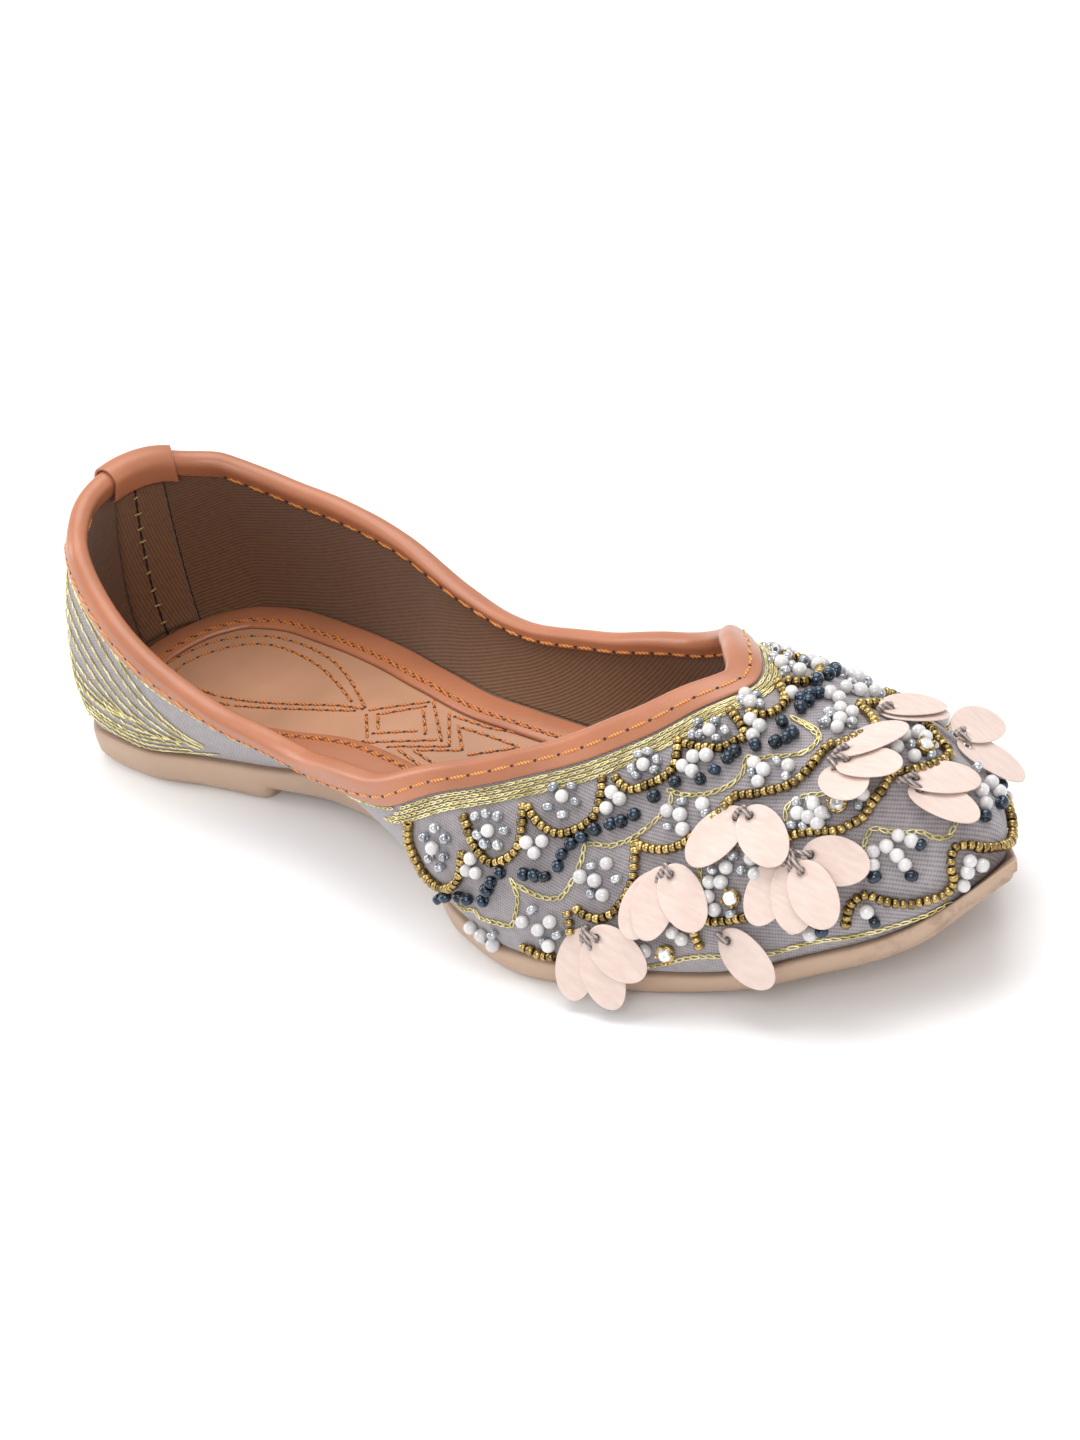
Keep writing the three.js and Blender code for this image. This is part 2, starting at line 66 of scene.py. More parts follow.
# Driving dimensions of the shoe, in millimetres, as the solids have them
SOLE_LENGTH = 250
BALL_WIDTH = 83
HEEL_HEIGHT = 8
BREAST_STEP = 2.8
BREAST_PLACE = 60
BREAST_RUN = 1.5
TOE_SPRING = 22.8
SOLE_MARGIN = 1.2
BEAK_LENGTH = 5.3
BEAK_ROOT = 12
EDGE_TAPER = 2.4
EDGE_ROUNDING = 1.4
INSTEP_HEIGHT = 47
BACK_HEIGHT = 51
THROAT_PLACE = 184
HEEL_CENTRE = 30
TOE_CENTRE = 204
HEEL_BULGE = 4
TOE_BULGE = 1
TUCK_SHARPNESS = 6
WALL = 2
SEAT = 0.3
INSOLE_THICKNESS = 1.5
BORDER_THICKNESS = 0.8
BORDER_WIDTH = 8
UPPER_START = SOLE_MARGIN
UPPER_LENGTH = SOLE_LENGTH - BEAK_LENGTH - 2 * SOLE_MARGIN

# The last, a row for each section, in the shares that the solids use
LAST_COLUMNS = ("along", "edge_near", "edge_far", "body_near", "body_far", "ridge", "taper")
LAST_ROWS = (
    (0, 0, 0, 0, 0, 1.66, 1.2),
    (0.02, 0.196, 0.211, 0.236, 0.236, 1.66, 1.18),
    (0.06, 0.316, 0.316, 0.355, 0.347, 1.66, 1.14),
    (0.12, 0.331, 0.354, 0.398, 0.388, 1.66, 1.1),
    (0.18, 0.298, 0.342, 0.425, 0.398, 1.65, 1.05),
    (0.25, 0.271, 0.31, 0.446, 0.394, 1.63, 1),
    (0.32, 0.243, 0.26, 0.47, 0.381, 1.58, 1),
    (0.4, 0.266, 0.224, 0.5, 0.377, 1.5, 1),
    (0.48, 0.366, 0.24, 0.534, 0.393, 1.4, 1.02),
    (0.56, 0.505, 0.312, 0.571, 0.422, 1.29, 1.1),
    (0.64, 0.561, 0.401, 0.592, 0.454, 1.15, 1.25),
    (0.72, 0.51, 0.459, 0.56, 0.496, 0.985, 1.35),
    (0.8, 0.437, 0.448, 0.493, 0.471, 0.905, 1.22),
    (0.87, 0.364, 0.377, 0.41, 0.398, 0.77, 1),
    (0.93, 0.272, 0.243, 0.307, 0.282, 0.64, 0.85),
    (0.97, 0.178, 0.143, 0.199, 0.182, 0.53, 0.8),
    (1, 0, 0, 0, 0, 0.43, 0.8),
)
SOLE_COLUMNS = ("along", "side", "arch", "rise")
SOLE_ROWS = (
    (0, 1, 1, 0),
    (0.12, 1, 1, 0),
    (0.24, 1.14, 1, 0),
    (0.32, 1.27, 0.97, 0),
    (0.4, 1.23, 0.85, 0),
    (0.5, 0.95, 0, 0),
    (0.6, 0.8, 0, 0),
    (0.72, 0.77, 0, 0),
    (0.8, 0.64, 0, 0.085),
    (0.868, 0.68, 0, 0.285),
    (0.94, 0.66, 0, 0.51),
    (0.972, 0.5, 0, 0.77),
    (1, 0.48, 0, 1),
)
COLLAR_COLUMNS = ("along", "near", "far", "flange")
COLLAR_ROWS = (
    (0, 0, 0, 1),
    (0.05, 0.19, 0.196, 1),
    (0.13, 0.273, 0.262, 1),
    (0.24, 0.341, 0.296, 1.05),
    (0.36, 0.393, 0.32, 1.25),
    (0.48, 0.421, 0.33, 1.35),
    (0.6, 0.411, 0.328, 1.1),
    (0.72, 0.355, 0.314, 0.85),
    (0.83, 0.274, 0.254, 0.85),
    (0.92, 0.158, 0.142, 1.05),
    (1, 0, 0, 1.15),
)


class MojariSizes(PropertyGroup):
    """Sizes of the shoe's trimmings."""

    bead_radius: FloatProperty(
        name="Collar bead radius",
        description="Radius of the padded roll along the collar",
        default=2.2 * MM,
        unit="LENGTH",
    )
    outer_flange: FloatProperty(
        name="Outer flange",
        description="How far the binding reaches down the outside at the heel",
        default=5 * MM,
        unit="LENGTH",
    )
    inner_flange: FloatProperty(
        name="Inner flange",
        description="How far the binding reaches down the lining",
        default=3.4 * MM,
        unit="LENGTH",
    )
    leather: FloatProperty(
        name="Leather thickness",
        description="Thickness of the binding leather",
        default=0.9 * MM,
        unit="LENGTH",
    )
    stitch: FloatProperty(
        name="Stitch length",
        description="Length of a stitch in the binding and the insole",
        default=3.1 * MM,
        unit="LENGTH",
    )


class MojariColours(PropertyGroup):
    """Colours of the shoe's materials."""

    fabric: FloatVectorProperty(
        name="Upper fabric",
        description="Grey ribbed weave of the upper",
        default=(0.29, 0.262, 0.275),
        subtype="COLOR",
    )
    leather: FloatVectorProperty(
        name="Binding leather",
        description="Smooth tan leather of the binding and the insole border",
        default=(0.4, 0.148, 0.072),
        subtype="COLOR",
    )
    insole: FloatVectorProperty(
        name="Insole",
        description="Brown-tan leather of the insole",
        default=(0.42, 0.215, 0.125),
        subtype="COLOR",
    )
    lining: FloatVectorProperty(
        name="Lining",
        description="Dark brown twill inside the upper",
        default=(0.135, 0.057, 0.021),
        subtype="COLOR",
    )
    sole: FloatVectorProperty(
        name="Sole",
        description="Beige-pink moulded rubber",
        default=(0.45, 0.31, 0.22),
        subtype="COLOR",
    )


def table(columns, rows):
    """A table's columns by name, as arrays."""
    return dict(zip(columns, np.array(rows, float).T))


def curve(at, value):
    """Smooth curve through a table's column that never overshoots its rows."""
    step = np.diff(at)
    rate = np.diff(value) / step
    slope = np.zeros(len(at))
    slope[0], slope[-1] = rate[0], rate[-1]
    for i in range(1, len(rate)):
        if rate[i - 1] * rate[i] > 0:
            before = step[i - 1] + 2 * step[i]
            after = 2 * step[i - 1] + step[i]
            slope[i] = (before + after) / (before / rate[i - 1] + after / rate[i])

    def at_place(place):
        place = np.clip(place, at[0], at[-1])
        i = np.clip(np.searchsorted(at, place) - 1, 0, len(step) - 1)
        s = (place - at[i]) / step[i]
        rest = 1 - s
        rising = (1 + 2 * s) * rest * rest * value[i] + s * rest * rest * step[i] * slope[i]
        falling = s * s * (3 - 2 * s) * value[i + 1] - s * s * rest * step[i] * slope[i + 1]
        return rising + falling

    return at_place


def station_of(along):
    """Stations crowd together at the heel and at the toe."""
    return np.arccos(1 - 2 * along) / math.pi


def along_of(station):
    """Share of the length at a station."""
    return (1 - np.cos(math.pi * station)) / 2


def back_round(along):
    """Way along the collar, crowded at its back alone."""
    return np.arccos(1 - along) / (math.pi / 2)


LAST = table(LAST_COLUMNS, LAST_ROWS)
SOLE = table(SOLE_COLUMNS, SOLE_ROWS)
COLLAR = table(COLLAR_COLUMNS, COLLAR_ROWS)
LAST_AT = station_of(LAST["along"])
COLLAR_AT = back_round(COLLAR["along"])
edge_near = curve(LAST_AT, LAST["edge_near"])
edge_far = curve(LAST_AT, LAST["edge_far"])
body_near = curve(LAST_AT, LAST["body_near"])
body_far = curve(LAST_AT, LAST["body_far"])
taper_at = curve(LAST_AT, LAST["taper"])
ridge_share = curve(LAST["along"], LAST["ridge"])
side_share = curve(SOLE["along"], SOLE["side"])
arch_share = curve(SOLE["along"], SOLE["arch"])
rise_share = curve(SOLE["along"], SOLE["rise"])
collar_near = curve(COLLAR_AT, COLLAR["near"])
collar_far = curve(COLLAR_AT, COLLAR["far"])
flange_share = curve(COLLAR_AT, COLLAR["flange"])


def sole_bottom(x):
    """Height of the underside: heel block, breast, arch and toe spring."""
    past = np.clip((x - BREAST_PLACE) / BREAST_RUN, 0, 1)
    return past * BREAST_STEP * arch_share(x / SOLE_LENGTH) + TOE_SPRING * rise_share(x / SOLE_LENGTH)


def sole_top(x):
    """Height of the face that the upper stands on."""
    return HEEL_HEIGHT * side_share(x / SOLE_LENGTH) + TOE_SPRING * rise_share(x / SOLE_LENGTH)


def ridge_height(x):
    """Height of the last's ridge over the feather edge."""
    return INSTEP_HEIGHT * ridge_share((x - UPPER_START) / UPPER_LENGTH)


def feather_point(station, far):
    """Where the upper meets the sole. Far is the inner side of the foot."""
    x = UPPER_START + UPPER_LENGTH * along_of(station)
    return x, BALL_WIDTH * np.where(far, edge_far(station), -edge_near(station))


def body_point(station, far):
    """Where the upper is widest, seen from above."""
    along = along_of(station)
    x = UPPER_START + UPPER_LENGTH * along + TOE_BULGE * along**8 - HEEL_BULGE * (1 - along) ** 8
    return x, BALL_WIDTH * np.where(far, body_far(station), -body_near(station))


def spine_place(station):
    """Where the section of a station starts on the spine."""
    return HEEL_CENTRE + (TOE_CENTRE - HEEL_CENTRE) * along_of(station)


def last_point(station, far, spread):
    """Points of the last's surface: spread is 1 at the feather edge and 0 on the ridge."""
    body_x, body_y = body_point(station, far)
    feather_x, feather_y = feather_point(station, far)
    spine = spine_place(station)
    turn = (1 - spread) * math.pi / 2
    taper = taper_at(station)
    out = np.maximum(np.cos(turn), 0) ** taper
    tuck = (1 - np.sin(turn)) ** TUCK_SHARPNESS
    x = spine + out * (body_x - spine) - tuck * (body_x - feather_x)
    y = out * body_y - tuck * (body_y - feather_y)
    return np.stack([x, y, sole_top(x) + SEAT + ridge_height(x) * np.sin(turn) ** taper], -1)


def laid_point(x, y, far):
    """The same points from their places on the last laid out flat, found by halving."""
    across = np.maximum(np.abs(y), 0.001)
    low = np.zeros(np.shape(x))
    high = low + 1
    for _ in range(30):
        middle = (low + high) / 2
        body_x, body_y = body_point(middle, far)
        spine = spine_place(middle)
        ahead = (x - spine) * np.abs(body_y) > across * (body_x - spine)
        low = np.where(ahead, middle, low)
        high = np.where(ahead, high, middle)
    middle = (low + high) / 2
    body_x, body_y = body_point(middle, far)
    spine = spine_place(middle)
    spread = np.hypot(x - spine, across) / np.hypot(body_x - spine, body_y)
    return last_point(middle, far, np.minimum(spread, 1))


def unit(vectors):
    """The same ways with a length of one."""
    return vectors / np.maximum(np.linalg.norm(vectors, axis=-1, keepdims=True), 1e-9)


def run_along(points):
    """Distance along a line of points, from its first."""
    return np.concatenate([[0], np.cumsum(np.linalg.norm(np.diff(points, axis=0), axis=1))])


def at_run(at, run, values):
    """A line's values at distances along it."""
    return np.stack([np.interp(at, run, column) for column in values.T], -1)


class Skin:
    """The upper's outer surface as a chart. Turn runs 0 to 1 from the heel to the toe along the
    near side and on to 2 back along the far side; down is the distance from the collar's edge."""

    STATIONS = 480
    RISERS = 120

    def __init__(self):
        back_turn = math.asin(BACK_HEIGHT / ridge_height(UPPER_START))
        heel_x = body_point(0.0, False)[0]
        collar_back = HEEL_CENTRE - (1 - back_turn / (math.pi / 2)) * (HEEL_CENTRE - heel_x)
        self.turn = np.arange(self.STATIONS) * 2 / self.STATIONS
        far = self.turn > 1
        station = np.where(far, 2 - self.turn, self.turn)
        foot_x, foot_y = body_point(station, far)
        along = along_of(station)
        head_x = collar_back + (THROAT_PLACE - collar_back) * along
        share = np.where(far, collar_far(back_round(along)), -collar_near(back_round(along)))
        head_y = BALL_WIDTH * share
        fall = np.linspace(0, 1, self.RISERS + 1)[None, :]
        x = head_x[:, None] + (foot_x - head_x)[:, None] * fall
        y = head_y[:, None] + (foot_y - head_y)[:, None] * fall
        raw = laid_point(x, y, np.broadcast_to(far[:, None], x.shape))
        self.length = np.linalg.norm(np.diff(raw, axis=1), axis=2).sum(1)
        self.place = self.evened(raw)
        around = np.roll(self.place, -1, 0) - np.roll(self.place, 1, 0)
        downwards = np.gradient(self.place, axis=1)
        self.out = unit(np.cross(downwards, around))
        self.rise = unit(self.place[:, 0] - self.place[:, 2])

    def evened(self, raw):
        """Each line's points spaced evenly along it, from the collar down."""
        share = np.linspace(0, 1, self.RISERS + 1)
        even = []
        for line in raw:
            run = run_along(line)
            even.append(at_run(share * run[-1], run, line))
        return np.array(even)

    def mix(self, grid, turn, down):
        """A grid's values between its nodes."""
        i = (np.asarray(turn, float) % 2) * self.STATIONS / 2
        i0 = np.floor(i).astype(int)
        s = (i - i0)[..., None]
        i0 %= self.STATIONS
        i1 = (i0 + 1) % self.STATIONS
        length = self.length[i0] * (1 - s[..., 0]) + self.length[i1] * s[..., 0]
        j = np.clip(down / length, 0, 1) * self.RISERS
        j0 = np.minimum(np.floor(j).astype(int), self.RISERS - 1)
        t = (j - j0)[..., None]
        upper = grid[i0, j0] * (1 - s) + grid[i1, j0] * s
        lower = grid[i0, j0 + 1] * (1 - s) + grid[i1, j0 + 1] * s
        return upper * (1 - t) + lower * t

    def at(self, turn, down, depth=0.0):
        """Points out of the skin by a depth. A negative down goes on above the collar's edge."""
        turn, down, depth = np.broadcast_arrays(*(np.asarray(v, float) for v in (turn, down, depth)))
        out = unit(self.mix(self.out, turn, down))
        point = self.mix(self.place, turn, down) + out * depth[..., None]
        rise = self.mix(self.rise[:, None, :].repeat(self.RISERS + 1, 1), turn, down)
        return point + unit(rise) * np.maximum(-down, 0)[..., None]

    def outward(self, turn, down):
        """Ways out of the skin."""
        turn, down = np.broadcast_arrays(np.asarray(turn, float), np.asarray(down, float))
        return unit(self.mix(self.out, turn, down))

    def depth_of(self, turn):
        """How far down the feather edge is."""
        lengths = np.append(self.length, self.length[0])
        return np.interp(np.asarray(turn) % 2, np.append(self.turn, 2), lengths)


SKIN = Skin()


def sole_outline(turn, out, beak):
    """Outline of the sole and insole: the feather edge moved out, with a beak at the toe."""
    far = turn > 1
    x, y = feather_point(np.where(far, 2 - turn, turn), far)
    plan = np.stack([x, y], -1)
    run = unit(np.roll(plan, -1, 0) - np.roll(plan, 1, 0))
    x = x + out * run[:, 1]
    y = y - out * run[:, 0]
    at_toe = np.maximum(1 - np.abs(y) / BEAK_ROOT, 0) ** 2
    at_toe[np.abs(turn - 1) < 1e-9] = 1
    return x + np.where(x > TOE_CENTRE, beak * at_toe, 0), y


def frame_shift():
    """Where the model's own origin lies in the frame, read from the outsole's box."""
    x, y = sole_outline(SKIN.turn, SOLE_MARGIN + SEAT, BEAK_LENGTH)
    low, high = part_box("outsole")
    across = (low.y + high.y) / 2 / MM - (y.min() + y.max()) / 2
    return np.array([low.x / MM - x.min(), across, 0.0])


SHIFT = frame_shift()


def add_piece(name, points, faces, finish, uv=None, tint=None, shade=None, smooth=True):
    """Mesh object from millimetre points and faces of one size, which rides on the shoe."""
    points = (np.asarray(points, float).reshape(-1, 3) + SHIFT) * MM
    faces = np.asarray(faces, np.int32)
    count, sides = faces.shape
    mesh = bpy.data.meshes.new(name)
    mesh.vertices.add(len(points))
    mesh.vertices.foreach_set("co", points.astype(np.float32).ravel())
    mesh.loops.add(faces.size)
    mesh.loops.foreach_set("vertex_index", faces.ravel())
    mesh.polygons.add(count)
    mesh.polygons.foreach_set("loop_start", np.arange(0, faces.size, sides, dtype=np.int32))
    mesh.update(calc_edges=True)
    if uv is not None:
        layer = mesh.uv_layers.new(name="Laid")
        layer.data.foreach_set("uv", np.asarray(uv, np.float32)[faces.ravel()].ravel())
    for label, values in (("tint", tint), ("shade", shade)):
        if values is not None:
            attribute = mesh.attributes.new(label, "FLOAT", "POINT")
            attribute.data.foreach_set("value", np.asarray(values, np.float32))
    mesh.validate()
    if smooth:
        mesh.shade_smooth()
    piece = bpy.data.objects.new(name, mesh)
    bpy.context.scene.collection.objects.link(piece)
    mesh.materials.append(finish)
    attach(piece, "root")
    return piece


def loft_faces(rings, count, closed_rings):
    """Quads between rings of points, each ring closed on itself."""
    bands = rings if closed_rings else rings - 1
    r, i = np.meshgrid(np.arange(bands), np.arange(count), indexing="ij")
    low = r * count
    high = (r + 1) % rings * count
    next_i = (i + 1) % count
    return np.stack([low + i, low + next_i, high + next_i, high + i], -1).reshape(-1, 4)


def grid_faces(index):
    """Quads of a grid of point numbers."""
    return np.stack([index[:-1, :-1], index[1:, :-1], index[1:, 1:], index[:-1, 1:]], -1).reshape(-1, 4)


def side_to_side(ring, columns):
    """Rows of points from a ring's near side to its far side, from the heel to the toe."""
    half = len(ring) // 2
    far = ring[-np.arange(half + 1)]
    share = np.linspace(0, 1, columns)[None, :, None]
    return ring[: half + 1, None] * (1 - share) + far[:, None] * share


def rounded(section, times=2):
    """A closed section with its corners cut round."""
    section = np.asarray(section, float)
    for _ in range(times):
        after = np.roll(section, -1, 0)
        section = np.stack([section * 0.75 + after * 0.25, section * 0.25 + after * 0.75], 1)
        section = section.reshape(-1, section.shape[-1])
    return section


# Materials


def new_finish(name, colour, roughness, metallic=0.0, **sockets):
    """A material whose single values sit on the shader itself. Returns it and its nodes."""
    finish = bpy.data.materials.new(name)
    finish.use_nodes = True
    tree = finish.node_tree
    shader = tree.nodes["Principled BSDF"]
    shader.inputs["Base Color"].default_value = (*colour, 1)
    shader.inputs["Roughness"].default_value = roughness
    shader.inputs["Metallic"].default_value = metallic
    for socket, value in sockets.items():
        shader.inputs[socket.replace("_", " ")].default_value = value
    return finish, tree, shader


def add_node(tree, kind, **settings):
    """A node with its inputs and properties set by name."""
    node = tree.nodes.new(kind)
    for setting, value in settings.items():
        if setting in node.inputs:
            node.inputs[setting].default_value = value
        else:
            setattr(node, setting, value)
    return node


def coordinates(tree, source="Object", scale=(1, 1, 1), turn=(0, 0, 0)):
    """Texture places, scaled and turned."""
    place = add_node(tree, "ShaderNodeTexCoord")
    mapping = add_node(tree, "ShaderNodeMapping")
    mapping.inputs["Scale"].default_value = scale
    mapping.inputs["Rotation"].default_value = turn
    tree.links.new(place.outputs[source], mapping.inputs["Vector"])
    return mapping.outputs["Vector"]


def noise(tree, vector, scale, detail=3.0, roughness=0.5):
    node = add_node(tree, "ShaderNodeTexNoise", Scale=scale, Detail=detail, Roughness=roughness)
    tree.links.new(vector, node.inputs["Vector"])
    return node.outputs["Fac"]


def waves(tree, vector, scale, distortion=0.0, direction="X"):
    node = add_node(tree, "ShaderNodeTexWave", Scale=scale, Distortion=distortion)
    node.bands_direction = direction
    tree.links.new(vector, node.inputs["Vector"])
    return node.outputs["Fac"]


def maths(tree, operation, first, second):
    """Result of a maths node on two sockets or numbers."""
    node = add_node(tree, "ShaderNodeMath", operation=operation)
    for socket, value in zip(node.inputs, (first, second)):
        if isinstance(value, (int, float)):
            socket.default_value = value
        else:
            tree.links.new(value, socket)
    return node.outputs["Value"]


def ramp(tree, factor, stops):
    """Colours by factor, each stop a place and a colour."""
    node = add_node(tree, "ShaderNodeValToRGB")
    tree.links.new(factor, node.inputs["Fac"])
    elements = node.color_ramp.elements
    while len(elements) < len(stops):
        elements.new(0.5)
    for element, (place, colour) in zip(elements, stops):
        element.position = place
        element.color = (*colour, 1)
    return node.outputs["Color"]


def scaled(colour, factor):
    """A lighter or darker colour of the same hue."""
    return tuple(min(channel * factor, 1) for channel in colour)


def bump(tree, shader, height, depth):
    """Relief of a real depth in millimetres."""
    node = add_node(tree, "ShaderNodeBump", Strength=1.0, Distance=depth * MM)
    tree.links.new(height, node.inputs["Height"])
    tree.links.new(node.outputs["Normal"], shader.inputs["Normal"])


def paint(tree, shader, factor, stops):
    """Base colour by a factor."""
    tree.links.new(ramp(tree, factor, stops), shader.inputs["Base Color"])


def leather_finish(name, colour, roughness, grain=1.0):
    """Smooth leather: faint pores, soft patches and a light gloss."""
    finish, tree, shader = new_finish(name, colour, roughness, Coat_Weight=0.06, Coat_Roughness=0.35)
    place = coordinates(tree)
    patches = noise(tree, place, 45, 2)
    paint(tree, shader, patches, [(0.3, scaled(colour, 0.88)), (0.7, scaled(colour, 1.12))])
    pores = noise(tree, place, 1500, 2)
    creases = noise(tree, place, 160, 4, 0.6)
    height = maths(tree, "ADD", maths(tree, "MULTIPLY", pores, 0.3 * grain), creases)
    bump(tree, shader, height, 0.12)
    return finish


def weave_finish(name, colour, pitch, slant, depth, rib_share):
    """Weave on laid-out millimetres: ribs of one pitch crossed by finer threads, with flecks of colour."""
    finish, tree, shader = new_finish(name, colour, 0.85, Sheen_Weight=0.25, Sheen_Roughness=0.5)
    per_millimetre = 1 / pitch
    place = coordinates(tree, "UV", turn=(0, 0, slant))
    wave_scale = per_millimetre * math.pi / 10
    ribs = waves(tree, place, wave_scale, 0.0, "X")
    threads = waves(tree, place, wave_scale * 1.7, 0.0, "Y")
    ribbed = maths(tree, "MULTIPLY", ribs, rib_share)
    crossed = maths(tree, "MULTIPLY", threads, 1 - rib_share)
    height = maths(tree, "ADD", ribbed, crossed)
    flecks = noise(tree, place, per_millimetre * 0.5, 3)
    tone = maths(tree, "ADD", maths(tree, "MULTIPLY", height, 0.6), maths(tree, "MULTIPLY", flecks, 0.6))
    paint(tree, shader, tone, [(0.3, scaled(colour, 0.66)), (0.75, scaled(colour, 1.2))])
    bump(tree, shader, height, depth)
    return finish


# Sockets of the mix node that carry colours
MIX_FIRST = 6
MIX_SECOND = 7
MIX_RESULT = 2


def rubber_finish(name, colour):
    """Moulded rubber with a fine grain and a rubbed, darker toe."""
    finish, tree, shader = new_finish(name, colour, 0.5)
    place = coordinates(tree)
    cloudy = noise(tree, place, 60, 4)
    base = ramp(tree, cloudy, [(0.3, scaled(colour, 0.93)), (0.7, scaled(colour, 1.06))])
    scuff = add_node(tree, "ShaderNodeAttribute", attribute_name="shade")
    marks = noise(tree, place, 220, 5, 0.65)
    patchy = ramp(tree, marks, [(0.5, (0, 0, 0)), (0.62, (1, 1, 1))])
    amount = maths(tree, "MULTIPLY", scuff.outputs["Fac"], patchy)
    mixed = add_node(tree, "ShaderNodeMix", data_type="RGBA")
    tree.links.new(amount, mixed.inputs["Factor"])
    tree.links.new(base, mixed.inputs[MIX_FIRST])
    mixed.inputs[MIX_SECOND].default_value = (*scaled(colour, 0.42), 1)
    tree.links.new(mixed.outputs[MIX_RESULT], shader.inputs["Base Color"])
    bump(tree, shader, noise(tree, place, 900, 3), 0.05)
    return finish


# Sole

CAP_COLUMNS = 15
TOP_RIM = 4
SCUFF_START = 215
SCUFF_RUN = 30
SCUFF_AMOUNT = 0.5


def add_outsole():
    """Moulded unit: rounded bottom edge, straight side with a lip, and a turned-up beak."""
    turn = SKIN.turn
    half = len(turn) // 2
    profile = (
        (-EDGE_TAPER - EDGE_ROUNDING, 0, 0),
        (-EDGE_TAPER, 0, 0.12),
        (-EDGE_TAPER * 0.72, 0, EDGE_ROUNDING * 0.38),
        (-EDGE_TAPER / 3, 0, EDGE_ROUNDING),
        (0, 0.35, 0),
        (SEAT, 0.7, 0),
        (SEAT * 0.9, 0.88, 0),
        (SEAT * 0.2, 0.985, 0),
        (-SEAT * 2, 1, 0),
        (-TOP_RIM, 1, 0),
    )
    rings = []
    for out, share, lift in profile:
        x, y = sole_outline(turn, SOLE_MARGIN + out, BEAK_LENGTH)
        rings.append(np.stack([x, y, sole_bottom(x) * (1 - share) + sole_top(x) * share + lift], -1))
    points = np.concatenate(rings)
    faces = [loft_faces(len(rings), len(turn), False)]
    for ring_index, height, flip in ((0, sole_bottom, True), (len(rings) - 1, sole_top, False)):
        inner = side_to_side(rings[ring_index], CAP_COLUMNS)[1:-1, 1:-1]
        inner[..., 2] = height(inner[..., 0])
        base = ring_index * len(turn)
        rows = np.arange(1, half)
        near = (base + rows)[:, None]
        far = (base + len(turn) - rows)[:, None]
        middle = len(points) + np.arange(inner.shape[0] * inner.shape[1]).reshape(inner.shape[:2])
        grid = np.concatenate([near, middle, far], 1)
        heel_row = np.stack([np.full(CAP_COLUMNS - 1, base), grid[0, :-1], grid[0, 1:]], -1)
        toe_row = np.stack([np.full(CAP_COLUMNS - 1, base + half), grid[-1, 1:], grid[-1, :-1]], -1)
        ends = np.concatenate([heel_row, toe_row])
        both = np.concatenate([grid_faces(grid), np.concatenate([ends, ends[:, 2:]], 1)])
        faces.append(both[:, ::-1] if flip else both)
        points = np.concatenate([points, inner.reshape(-1, 3)])
    shade = np.clip((points[:, 0] - SCUFF_START) / SCUFF_RUN, 0, 1) * SCUFF_AMOUNT
    rubber = rubber_finish("sole rubber", bpy.context.scene.mojari_colours.sole)
    piece = add_piece("sole_unit", points, np.concatenate(faces), rubber, shade=shade)
    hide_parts("outsole")


# Upper and lining, each with its top edge a little below the collar's edge

SHELL_ROWS = 61
FABRIC_THICKNESS = 1.0
FABRIC_TOP = 0.4
LINING_DEPTH = 1.05
LINING_TOP = 0.6


def shell_points(outer_depth, inner_depth, top):
    """Rings of a thin shell, down its outer face and back up its inner face."""
    rows = np.linspace(0, 1, SHELL_ROWS)
    rings = []
    for depth, order in ((outer_depth, rows), (inner_depth, rows[::-1])):
        for share in order:
            down = top + (SKIN.length - top) * share
            rings.append(SKIN.at(SKIN.turn, down, depth))
    return rings


def laid_uv(top):
    """Chart places in millimetres: the way round at the feather edge, and the way down."""
    edge = SKIN.place[:, -1]
    step = np.linalg.norm(edge - np.roll(edge, 1, 0), axis=1)
    step[0] = 0
    run = np.cumsum(step)
    rows = np.linspace(0, 1, SHELL_ROWS)
    shares = np.concatenate([rows, rows[::-1]])
    return np.concatenate([np.stack([run, top + (SKIN.length - top) * s], -1) for s in shares])


def add_upper():
    """The fabric outside and the lining inside, each a thin shell of its own."""
    colours = bpy.context.scene.mojari_colours
    rings = shell_points(0.0, -FABRIC_THICKNESS, FABRIC_TOP)
    faces = loft_faces(len(rings), len(SKIN.turn), True)[:, ::-1]
    points = np.concatenate(rings)
    fabric = weave_finish("ribbed grey fabric", colours.fabric, 0.9, 0.75, 0.09, 0.6)
    piece = add_piece("upper_fabric", points, faces, fabric, uv=laid_uv(FABRIC_TOP))
    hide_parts("upper")
    points = np.concatenate(shell_points(-LINING_DEPTH, -WALL, LINING_TOP))
    lining = weave_finish("lining twill", colours.lining, 0.8, 1.15, 0.1, 0.85)
    add_piece("lining", points, faces, lining, uv=laid_uv(LINING_TOP))


# Insole and its border

INSOLE_EDGE = -WALL - 2 * SEAT
INSOLE_COLUMNS = 41
INSOLE_DIP = 0.1
WELD_DISTANCE = 0.02


def insole_face(x):
    """Height of the insole's face."""
    return sole_top(x) + SEAT + INSOLE_THICKNESS


